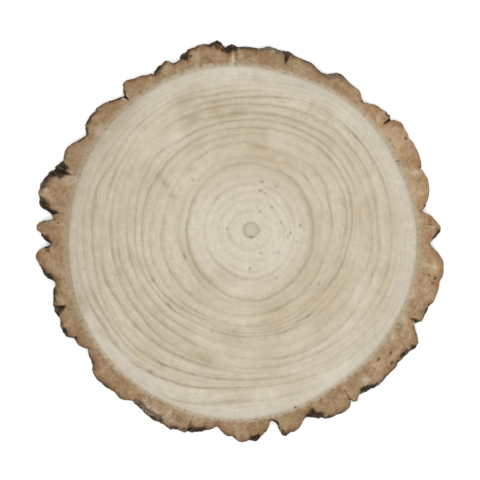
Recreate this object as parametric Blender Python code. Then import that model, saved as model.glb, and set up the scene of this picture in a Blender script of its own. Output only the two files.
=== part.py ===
"""A slice sawn straight across a tree trunk, with its bark on.

Wood and bark grew together, so the slice is one solid: two flat sawn faces, a ring of
furrowed bark round them, and the soft pith, worn a little below each face. Lengths are in
metres except where a name ends in MM, and +Z is up out of the upper face.
"""

import math

import bmesh
import bpy
import numpy as np

MM = 0.001
TURN = 2 * math.pi

# Driving dimensions
SLICE_WIDTH = 0.300  # across the bark, along X
SLICE_THICKNESS = 0.025
PITH_DIAMETER = 0.0092
PITH_RECESS = 0.0006  # how far the soft pith sits below a sawn face
THINNEST_BARK = 0.0015
COLUMN_SPACING = 0.0031  # along the bark's outline
COLUMN_GAP = math.radians(0.35)  # least angle between a column and a furrow or crack
PITH_SIDES = 20
SHARP_ANGLE = math.radians(35)  # edges between faces that meet at more than this stay crisp

# How the bark changes from the lower face up to the upper one
HEIGHTS = (0.0, 0.05, 0.17, 0.35, 0.55, 0.74, 0.87, 0.96, 1.0)  # shares of the thickness
LIP_DEPTH = 0.0050  # from a sawn face, where a broken edge runs out
LIP_SLOPE = 0.3  # share of a broken edge's half width over which it starts and ends
CRACK_DEPTH = 0.0120  # from the upper face, where its cracks run out
LEAN = 0.0008  # sideways drift of the plates from the upper face to the lower one
WEAR = 0.0008  # how much shallower the plates are midway
RIPPLES = 23  # of that wear, round the slice
BREAK_DEPTHS = (0.0005, 0.0026)  # of the crack across each plate
BREAK_HEIGHTS = (0.28, 0.72)  # where it lies, as shares of the thickness
BREAK_REACH = 0.0028  # how far above and below it the plate is rounded
LOWER_LIPS = 34
LOWER_LIP_DEGREES = (2.0, 8.0)
LOWER_LIP_MM = (0.5, 3.6)
SEED = 11

# Radius of the wood under the bark, every 20 degrees anticlockwise from +X, about the pith
WOOD_RADII_MM = (
    122.2, 118.9, 118.5, 118.1, 118.9, 123.3, 126.3, 129.6, 132.4,
    134.8, 138.5, 141.1, 141.1, 140.5, 135.8, 129.6, 126.7, 124.8,
)  # fmt: skip

# Each bark plate from its furrow anticlockwise, as (degrees, millimetres) about the pith.
# The first point is the furrow's floor, and it is where two plates meet in a corner.
BARK_PLATES = (
    ((-4.0, 132.2), (-2.9, 134.5), (-2.0, 137.5), (-1.1, 138.8), (-0.2, 140.6), (0.7, 140.8),
     (1.6, 139.1), (2.7, 137.1), (3.9, 135.4), (4.9, 133.0), (5.6, 130.2)),
    ((6.2, 128.1), (7.2, 129.4), (8.5, 130.6), (10.0, 132.6), (12.0, 134.4), (14.2, 135.7),
     (16.4, 136.1), (17.5, 135.2), (18.8, 134.6)),
    ((20.0, 134.1), (22.0, 135.4), (24.0, 136.1), (26.8, 136.4), (29.2, 136.0)),
    ((30.3, 134.8), (31.2, 135.9), (33.4, 136.2), (35.9, 136.7), (36.8, 135.0), (37.8, 133.4),
     (40.4, 133.5), (41.6, 133.0), (43.2, 131.6), (44.8, 131.3), (46.2, 129.7), (47.4, 127.3)),
    ((48.7, 127.0), (49.9, 127.0), (50.7, 128.4), (52.0, 130.8), (54.3, 131.2), (57.0, 132.0),
     (58.8, 133.5), (60.6, 134.2), (61.8, 133.8), (62.9, 131.6), (64.4, 129.8), (65.4, 128.2)),
    ((66.0, 127.8), (67.0, 128.6), (69.0, 130.6), (71.0, 131.8), (74.0, 132.4), (76.0, 134.2),
     (78.4, 136.0), (80.2, 135.1), (81.4, 136.8), (82.4, 137.8), (84.6, 138.0), (85.6, 137.6),
     (86.6, 135.8)),
    ((87.4, 135.1), (89.0, 135.6), (90.5, 136.0), (92.2, 136.6), (93.4, 136.1)),
    ((94.0, 136.0), (94.8, 138.2), (95.4, 139.1), (96.2, 140.1), (96.9, 139.0)),
    ((98.0, 137.2), (98.6, 139.0), (99.1, 141.8), (99.6, 144.2), (100.3, 144.6),
     (101.4, 143.8), (103.3, 142.6), (105.2, 142.3), (107.4, 143.2), (109.3, 143.0),
     (110.2, 141.9), (111.6, 141.0), (112.1, 139.6)),
    ((112.6, 137.1), (113.8, 136.8), (115.0, 137.0), (115.7, 139.0), (116.4, 140.8),
     (118.3, 140.6), (120.0, 139.6), (121.3, 138.4)),
    ((122.2, 137.4), (123.6, 138.8), (125.0, 140.5), (126.0, 141.8), (127.4, 142.3),
     (128.8, 143.7), (130.2, 145.0), (131.1, 144.6), (131.8, 142.6), (132.6, 140.0),
     (133.4, 138.3)),
    ((134.1, 137.4), (134.8, 138.6), (136.2, 140.7), (138.2, 143.4), (139.4, 144.4),
     (140.6, 144.9), (142.0, 146.5), (143.4, 147.1), (145.0, 147.2), (147.0, 146.4),
     (148.2, 144.8), (149.2, 142.3)),
    ((150.2, 140.8), (151.2, 142.6), (153.0, 146.1), (154.4, 148.3), (156.0, 150.1),
     (157.2, 150.0), (158.4, 148.8)),
    ((159.4, 148.4), (160.6, 150.6), (162.0, 153.9), (164.0, 156.6), (166.0, 158.7),
     (168.0, 159.9), (169.8, 160.2), (170.8, 159.4), (172.8, 158.4), (173.5, 156.8),
     (174.0, 153.2), (174.7, 150.4), (175.8, 148.0)),
    ((176.8, 146.8), (177.1, 148.6), (177.3, 151.4), (177.5, 154.6), (178.0, 157.6),
     (178.8, 158.9), (179.6, 158.7), (180.2, 156.4), (180.9, 155.0), (181.7, 155.7),
     (182.4, 154.0), (183.0, 151.8)),
    ((184.1, 150.1), (184.6, 151.4), (184.8, 154.0), (185.1, 157.0), (185.8, 159.2),
     (187.0, 160.7), (188.2, 159.8), (189.4, 158.8), (191.4, 157.8), (192.4, 155.8),
     (193.4, 153.6), (194.2, 151.0)),
    ((195.0, 149.4), (195.8, 150.4), (197.0, 153.3), (198.6, 154.8), (199.8, 156.3),
     (202.3, 157.3), (203.8, 156.6)),
    ((205.0, 155.7), (205.8, 156.6), (206.8, 158.0), (208.4, 159.1), (209.4, 158.6),
     (210.2, 156.6), (211.4, 154.6), (213.2, 153.4), (214.6, 151.9)),
    ((215.9, 149.7), (217.0, 151.2), (218.4, 152.3), (219.6, 154.0), (220.7, 154.9),
     (221.6, 156.7), (222.8, 158.1), (225.2, 158.4), (227.1, 159.0), (228.4, 157.6),
     (229.4, 156.8)),
    ((230.1, 156.4), (231.0, 157.4), (232.0, 157.8), (233.2, 156.4), (234.0, 154.8)),
    ((234.7, 154.1), (235.4, 155.3), (237.2, 155.8), (239.4, 157.3), (241.6, 158.4),
     (243.6, 158.5)),
    ((245.0, 157.4), (246.2, 158.0), (247.0, 159.4), (248.4, 158.9), (249.6, 157.5),
     (251.8, 156.8), (254.0, 155.5), (255.6, 154.5), (257.0, 152.1), (258.4, 150.1),
     (259.4, 148.1)),
    ((260.1, 147.1), (260.9, 148.5), (261.7, 149.6), (262.4, 151.9), (263.6, 153.1),
     (265.1, 152.9), (266.0, 155.2), (267.1, 157.0), (268.0, 156.5), (269.3, 155.4),
     (270.2, 155.7), (271.5, 155.6), (272.3, 153.6), (273.3, 151.0), (274.3, 148.2),
     (275.0, 145.0), (275.5, 142.4)),
    ((276.1, 141.5), (277.0, 142.8), (277.9, 145.4), (278.3, 149.0), (278.5, 152.6),
     (279.2, 154.1), (280.4, 153.1), (282.4, 151.9), (283.8, 150.2), (284.7, 147.4),
     (285.4, 145.0)),
    ((286.3, 143.9), (287.4, 144.6), (289.0, 146.8), (290.6, 148.8), (292.2, 150.4),
     (295.0, 151.0), (298.1, 151.5), (298.9, 150.0), (299.6, 148.2)),
    ((300.3, 147.4), (301.0, 147.8), (301.7, 148.5), (302.4, 147.0)),
    ((303.3, 144.7), (304.4, 145.6), (307.0, 146.6), (308.5, 148.4), (311.6, 148.3),
     (314.4, 147.9), (317.2, 147.9), (318.2, 146.8)),
    ((319.6, 146.1), (321.6, 146.6), (322.8, 147.4), (323.8, 149.2), (325.4, 149.7),
     (326.5, 147.9), (327.6, 145.4), (328.6, 142.4), (329.4, 140.0)),
    ((330.2, 139.1), (330.9, 140.8), (331.6, 142.8), (332.3, 143.7), (334.2, 143.5),
     (336.8, 143.8), (338.6, 144.8), (341.0, 145.1), (343.0, 145.0)),
    ((344.6, 144.3), (345.8, 144.8), (346.8, 145.8), (348.6, 144.9), (350.9, 143.8),
     (352.2, 141.2), (353.4, 138.5), (354.6, 134.9)),
)  # fmt: skip

# Where the saw broke the bark's edge away, as (from degrees, to degrees, millimetres inwards).
# The plate keeps its full width below, so weathered bark shows there from above.
UPPER_LIPS = (
    (-3.0, 0.6, 3.0), (39.6, 41.8, 1.5), (58.0, 64.6, 3.5), (74.5, 77.6, 1.3),
    (80.2, 86.8, 3.2), (87.0, 94.2, 1.9), (94.2, 98.4, 5.5), (98.4, 103.4, 4.0),
    (106.6, 109.2, 2.0), (109.2, 112.2, 5.5), (118.2, 122.2, 3.0), (131.6, 134.0, 2.6),
    (134.4, 138.6, 1.6), (141.6, 147.6, 2.2), (148.0, 150.0, 1.8), (159.8, 165.4, 9.0),
    (165.2, 168.8, 4.2), (170.9, 175.6, 6.2), (180.4, 183.8, 3.8), (189.4, 194.6, 3.4),
    (196.0, 200.4, 1.8), (200.4, 204.8, 2.4), (206.6, 210.0, 3.4), (210.4, 212.2, 2.0),
    (218.6, 221.0, 2.2), (224.6, 228.8, 2.0), (234.8, 245.6, 5.0), (246.4, 250.2, 2.6),
    (252.0, 257.4, 4.0), (269.5, 272.4, 4.0), (276.6, 278.6, 2.2), (278.6, 281.4, 1.8),
    (286.0, 291.8, 4.6), (291.8, 299.0, 1.5), (303.6, 309.6, 3.4), (309.6, 319.4, 1.3),
    (319.8, 323.0, 2.2), (323.2, 325.4, 2.2), (332.4, 338.0, 1.6),
)  # fmt: skip

# Cracks that run in from the upper edge, as (degrees, half width in degrees, floor radius in mm)
UPPER_CRACKS = (
    (7.0, 0.6, 125.8), (20.0, 0.5, 132.0), (38.7, 0.9, 125.6), (48.7, 0.7, 125.6),
    (78.4, 1.0, 125.6), (97.0, 1.0, 131.6), (110.3, 1.0, 134.4), (121.7, 0.7, 135.4),
    (133.2, 0.6, 131.8), (162.8, 0.9, 141.0), (174.9, 0.7, 143.0), (202.1, 1.0, 147.4),
    (211.4, 0.6, 151.0), (252.4, 0.6, 152.4), (288.8, 0.9, 138.6), (300.4, 0.6, 143.0),
    (331.2, 0.6, 136.8),
)  # fmt: skip


def smooth_curve(points, steps=6):
    """Points on a centripetal Catmull-Rom curve through the given ones, with its ends free."""
    points = np.asarray(points, float)
    ends = 2 * points[[0, -1]] - points[[1, -2]]
    padded = np.vstack([ends[:1], points, ends[1:]])
    gaps = np.linalg.norm(np.diff(padded, axis=0), axis=1) ** 0.5
    knots = np.concatenate([[0.0], np.cumsum(gaps)])
    made = []
    for i in range(1, len(padded) - 2):
        p0, p1, p2, p3 = padded[i - 1 : i + 3]
        k0, k1, k2, k3 = knots[i - 1 : i + 3]
        t = np.linspace(k1, k2, steps, endpoint=False)[:, None]
        a1 = (k1 - t) / (k1 - k0) * p0 + (t - k0) / (k1 - k0) * p1
        a2 = (k2 - t) / (k2 - k1) * p1 + (t - k1) / (k2 - k1) * p2
        a3 = (k3 - t) / (k3 - k2) * p2 + (t - k2) / (k3 - k2) * p3
        b1 = (k2 - t) / (k2 - k0) * a1 + (t - k0) / (k2 - k0) * a2
        b2 = (k3 - t) / (k3 - k1) * a2 + (t - k1) / (k3 - k1) * a3
        made.append((k2 - t) / (k2 - k1) * b1 + (t - k1) / (k2 - k1) * b2)
    return np.vstack(made)


def polar_to_plane(points):
    """(degrees, mm) pairs as x and y in metres about the pith."""
    degrees, radii = np.asarray(points, float).T
    angles = np.radians(degrees)
    return np.stack([radii * np.cos(angles), radii * np.sin(angles)], axis=1) * MM


def plates_outline():
    """The bark's full outline as (angles, radii) about the pith, with a corner at each furrow."""
    curves = []
    for plate, following in zip(BARK_PLATES, BARK_PLATES[1:] + BARK_PLATES[:1]):
        curves.append(smooth_curve(polar_to_plane(plate + following[:1])))
    outline = np.vstack(curves)
    angles = np.unwrap(np.arctan2(outline[:, 1], outline[:, 0]))
    return angles, np.hypot(outline[:, 0], outline[:, 1])


def around(angles, known_angles, known_radii):
    """Radii at some angles, read from a closed outline."""
    return np.interp(angles, known_angles, known_radii, period=TURN)


def wood_radius(angles):
    """The wood's edge under the bark, on a smooth closed curve through WOOD_RADII_MM."""
    count = len(WOOD_RADII_MM)
    waves = np.fft.rfft(WOOD_RADII_MM) / count
    orders = np.arange(1, len(waves) - 1)
    turned = np.exp(1j * np.outer(np.atleast_1d(angles), orders))
    return (waves[0].real + 2 * (turned @ waves[1:-1]).real) * MM


def smoothed(share):
    """A share held between 0 and 1, with no corner where it starts and ends."""
    share = np.clip(share, 0, 1)
    return share * share * (3 - 2 * share)


def turn_between(degrees, centre):
    """The smaller angle from the centre to each angle, in degrees and without a sign."""
    return np.abs((degrees - centre + 180) % 360 - 180)


def hump(degrees, start, end):
    """1 inside a stretch of angles and 0 outside it, with short slopes. All are in degrees."""
    off = turn_between(degrees, (start + end) / 2) / ((end - start) / 2)
    return smoothed((1 - off) / LIP_SLOPE)


def edge_loss(angles, lips):
    """How far the broken edges cut in from the full outline at each angle, in metres."""
    degrees = np.degrees(angles)
    losses = [depth * MM * hump(degrees, start, end) for start, end, depth in lips]
    return np.max(losses, axis=0)


def crack_loss(angles, radii):
    """How far the cracks cut in from the full outline: a V down to each crack's floor."""
    degrees = np.degrees(angles)
    losses = []
    for centre, half_width, floor in UPPER_CRACKS:
        off = turn_between(degrees, centre) / half_width
        losses.append(np.clip(1 - off, 0, 1) * (radii - floor * MM))
    return np.max(losses, axis=0)


def lower_lips():
    """Broken edges of the lower face, at seeded places."""
    rng = np.random.default_rng(SEED)
    starts = np.sort(rng.uniform(0, 360, LOWER_LIPS))
    widths = rng.uniform(*LOWER_LIP_DEGREES, LOWER_LIPS)
    return tuple(zip(starts, starts + widths, rng.uniform(*LOWER_LIP_MM, LOWER_LIPS)))


def furrow_angles():
    return np.radians([plate[0][0] for plate in BARK_PLATES])


def plate_breaks(angles, height):
    """How far the crack across each plate cuts in at this height. Places and depths are seeded."""
    rng = np.random.default_rng(SEED)
    furrows = furrow_angles()
    plate = np.searchsorted(furrows, (angles - furrows[0]) % TURN + furrows[0], "right") - 1
    heights = SLICE_THICKNESS * rng.uniform(*BREAK_HEIGHTS, len(furrows))
    depths = rng.uniform(*BREAK_DEPTHS, len(furrows))
    return depths[plate] * np.exp(-(((height - heights[plate]) / BREAK_REACH) ** 2))


def column_angles():
    """The angles of the mesh's columns: evenly along the outline, and at each crack."""
    angles, radii = plates_outline()
    closed_angles = np.append(angles, angles[0] + TURN)
    closed_radii = np.append(radii, radii[0])
    steps = np.hypot(np.diff(closed_radii), closed_radii[1:] * np.diff(closed_angles))
    travelled = np.concatenate([[0.0], np.cumsum(steps)])
    count = round(travelled[-1] / COLUMN_SPACING)
    stops = np.linspace(0, travelled[-1], count, endpoint=False)
    even = np.interp(stops, travelled, closed_angles)
    cracks = [centre + side * half for centre, half, _ in UPPER_CRACKS for side in (-1, 0, 1)]
    fixed = np.concatenate([furrow_angles(), np.radians(cracks)])
    near = np.abs((even[:, None] - fixed + math.pi) % TURN - math.pi).min(axis=1)
    return np.unique(np.round(np.concatenate([even[near > COLUMN_GAP], fixed]) % TURN, 5))


def bark_at(angles, height):
    """The bark's outline at one height above the lower face, as (angles, radii) about the pith."""
    rise = height / SLICE_THICKNESS
    below = SLICE_THICKNESS - height
    drift = LEAN * (1 - rise) * (np.sin(3 * angles + 0.7) + 0.6 * np.sin(7 * angles + 2.1))
    full = around(angles, *plates_outline())
    ripple = 0.5 + 0.5 * np.sin(RIPPLES * angles + 9 * rise)
    wear = WEAR * math.sin(math.pi * rise) * ripple + plate_breaks(angles, height)
    upper = edge_loss(angles, UPPER_LIPS) * smoothed(1 - below / LIP_DEPTH)
    cracks = crack_loss(angles, full) * smoothed(1 - below / CRACK_DEPTH)
    lower = edge_loss(angles, lower_lips()) * smoothed(1 - height / LIP_DEPTH)
    loss = np.max([upper, cracks, lower], axis=0)
    return angles + drift / full, np.maximum(full - loss - wear, wood_radius(angles) + THINNEST_BARK)


def level(angles, radii, height):
    """A ring of points round the pith at one height."""
    return np.stack([radii * np.cos(angles), radii * np.sin(angles), np.full_like(radii, height)], 1)


def slice_points(angles):
    """Every level of the bark, then the wood's edge on the lower and on the upper face."""
    heights = [share * SLICE_THICKNESS for share in HEIGHTS]
    bark = [level(*bark_at(angles, height), height) for height in heights]
    wood = [level(angles, wood_radius(angles), height) for height in (0.0, SLICE_THICKNESS)]
    return np.stack(bark + wood)


def in_place(points):
    """Points about the pith, scaled to the slice's width and moved so that its box is centred."""
    low, high = points[..., :2].min(axis=(0, 1)), points[..., :2].max(axis=(0, 1))
    scale = SLICE_WIDTH / (high[0] - low[0])
    middle = np.append((low + high) / 2, 0.0)
    return (points - middle) * (scale, scale, 1.0), -middle * (scale, scale, 1.0)


def band(lower, upper, columns):
    """The quads between two levels, as lists of vertex numbers. Seen from outside, or from above
    where the first level is the outer one, they turn anticlockwise."""
    here = np.arange(columns)
    after = (here + 1) % columns
    first, second = lower * columns, upper * columns
    return np.stack([first + here, first + after, second + after, second + here], axis=1).tolist()


def slice_faces(columns):
    """The bark's faces (its side and the two cut rings), then the two faces of the wood."""
    top = len(HEIGHTS) - 1
    lower_wood = top + 1
    upper_wood = top + 2
    bark = band(top, upper_wood, columns) + band(lower_wood, 0, columns)
    for k in range(top):
        bark += band(k, k + 1, columns)
    around_wood = np.arange(columns)
    wood = [
        (upper_wood * columns + around_wood).tolist(),
        (lower_wood * columns + around_wood[::-1]).tolist(),
    ]
    return bark, wood


def material(name, colour, roughness):
    """A plain matt material. The colour is linear."""
    made = bpy.data.materials.new(name)
    made.use_nodes = True
    shader = made.node_tree.nodes["Principled BSDF"]
    shader.inputs["Base Color"].default_value = (*colour, 1.0)
    shader.inputs["Roughness"].default_value = roughness
    shader.inputs["Metallic"].default_value = 0.0
    return made


def pith_cutter(name, pith, face_height):
    """A short drum that cuts the pith's recess into one sawn face. It isn't part of the slice."""
    mesh = bpy.data.meshes.new(name)
    drum = bmesh.new()
    bmesh.ops.create_cone(
        drum,
        cap_ends=True,
        segments=PITH_SIDES,
        radius1=PITH_DIAMETER / 2,
        radius2=PITH_DIAMETER / 2,
        depth=2 * PITH_RECESS,
    )
    drum.to_mesh(mesh)
    drum.free()
    cutter = bpy.data.objects.new(name, mesh)
    cutter.location = (pith[0], pith[1], face_height)
    cutter.hide_render = True
    cutter.display_type = "WIRE"
    bpy.context.scene.collection.objects.link(cutter)
    return cutter


def wood_slice():
    """The slice as one closed mesh, with the wood and the bark told apart by material."""
    points, pith = in_place(slice_points(column_angles()))
    bark_faces, wood_faces = slice_faces(points.shape[1])
    mesh = bpy.data.meshes.new("wood_slice")
    mesh.from_pydata(points.reshape(-1, 3).tolist(), [], bark_faces + wood_faces)
    mesh.materials.append(material("bark", (0.36, 0.22, 0.12), 0.95))
    mesh.materials.append(material("sawn_wood", (0.66, 0.57, 0.42), 0.75))
    is_wood = np.arange(len(mesh.polygons)) >= len(bark_faces)
    mesh.polygons.foreach_set("material_index", is_wood.astype(np.int32))
    mesh.update()
    mesh.shade_smooth()
    mesh.set_sharp_from_angle(angle=SHARP_ANGLE)
    made = bpy.data.objects.new("wood_slice", mesh)
    bpy.context.scene.collection.objects.link(made)
    for name, height in (("upper_pith_cutter", SLICE_THICKNESS), ("lower_pith_cutter", 0.0)):
        recess = made.modifiers.new(name, "BOOLEAN")
        recess.operation = "DIFFERENCE"
        recess.object = pith_cutter(name, pith, height)
    return made


def clear_scene():
    """Empty the file of whatever it opened with."""
    for old in list(bpy.data.objects):
        bpy.data.objects.remove(old)


clear_scene()
wood_slice()
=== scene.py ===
"""The looks of a wood slice: its grown shape with furrowed bark, and its sawn, cut and weathered finishes."""

import math

import bpy
import numpy as np
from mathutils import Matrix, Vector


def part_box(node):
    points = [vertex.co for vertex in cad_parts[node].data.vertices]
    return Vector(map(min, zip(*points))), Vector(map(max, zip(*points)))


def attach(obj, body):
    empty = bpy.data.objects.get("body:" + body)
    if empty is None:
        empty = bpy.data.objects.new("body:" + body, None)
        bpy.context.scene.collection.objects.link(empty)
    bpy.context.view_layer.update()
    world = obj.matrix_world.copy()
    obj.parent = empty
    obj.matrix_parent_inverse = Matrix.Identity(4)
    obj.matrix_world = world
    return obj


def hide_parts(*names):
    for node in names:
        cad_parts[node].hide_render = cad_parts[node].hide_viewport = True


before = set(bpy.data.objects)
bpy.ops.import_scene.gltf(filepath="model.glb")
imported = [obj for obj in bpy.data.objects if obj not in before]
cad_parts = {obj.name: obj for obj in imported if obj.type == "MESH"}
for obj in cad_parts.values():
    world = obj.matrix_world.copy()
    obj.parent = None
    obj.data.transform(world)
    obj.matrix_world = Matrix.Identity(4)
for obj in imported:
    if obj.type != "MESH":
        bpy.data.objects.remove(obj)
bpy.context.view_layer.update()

bl_info = {
    "name": "Wood slice",
    "version": (1, 0, 0),
    "blender": (4, 5, 0),
    "location": "3D View > Sidebar > Wood slice",
    "description": "A slice sawn across a tree trunk, with growth rings and furrowed bark",
    "category": "Add Mesh",
}

NODE = "wood_slice"
BODY = "root"

MM = 0.001
TURN = 2 * math.pi
LOW, HIGH = (np.array(corner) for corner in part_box(NODE))
THICKNESS = float(HIGH[2] - LOW[2])

# The rings, the wood's edge and the marks are given in steps, of which the slice is 407 wide and
# the picture 480.
SLICE_STEPS = 407
PICTURE_STEPS = 480
STEP = float(HIGH[0] - LOW[0]) / SLICE_STEPS

# The wood's edge under the bark, every 20 degrees anticlockwise from +X, about the pith
WOOD_EDGE = (
    165.0, 160.5, 160.0, 159.5, 160.5, 166.5, 170.5, 175.0, 178.7,
    182.0, 187.0, 190.5, 190.5, 189.7, 183.3, 175.0, 171.0, 168.5,
)  # fmt: skip

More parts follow.
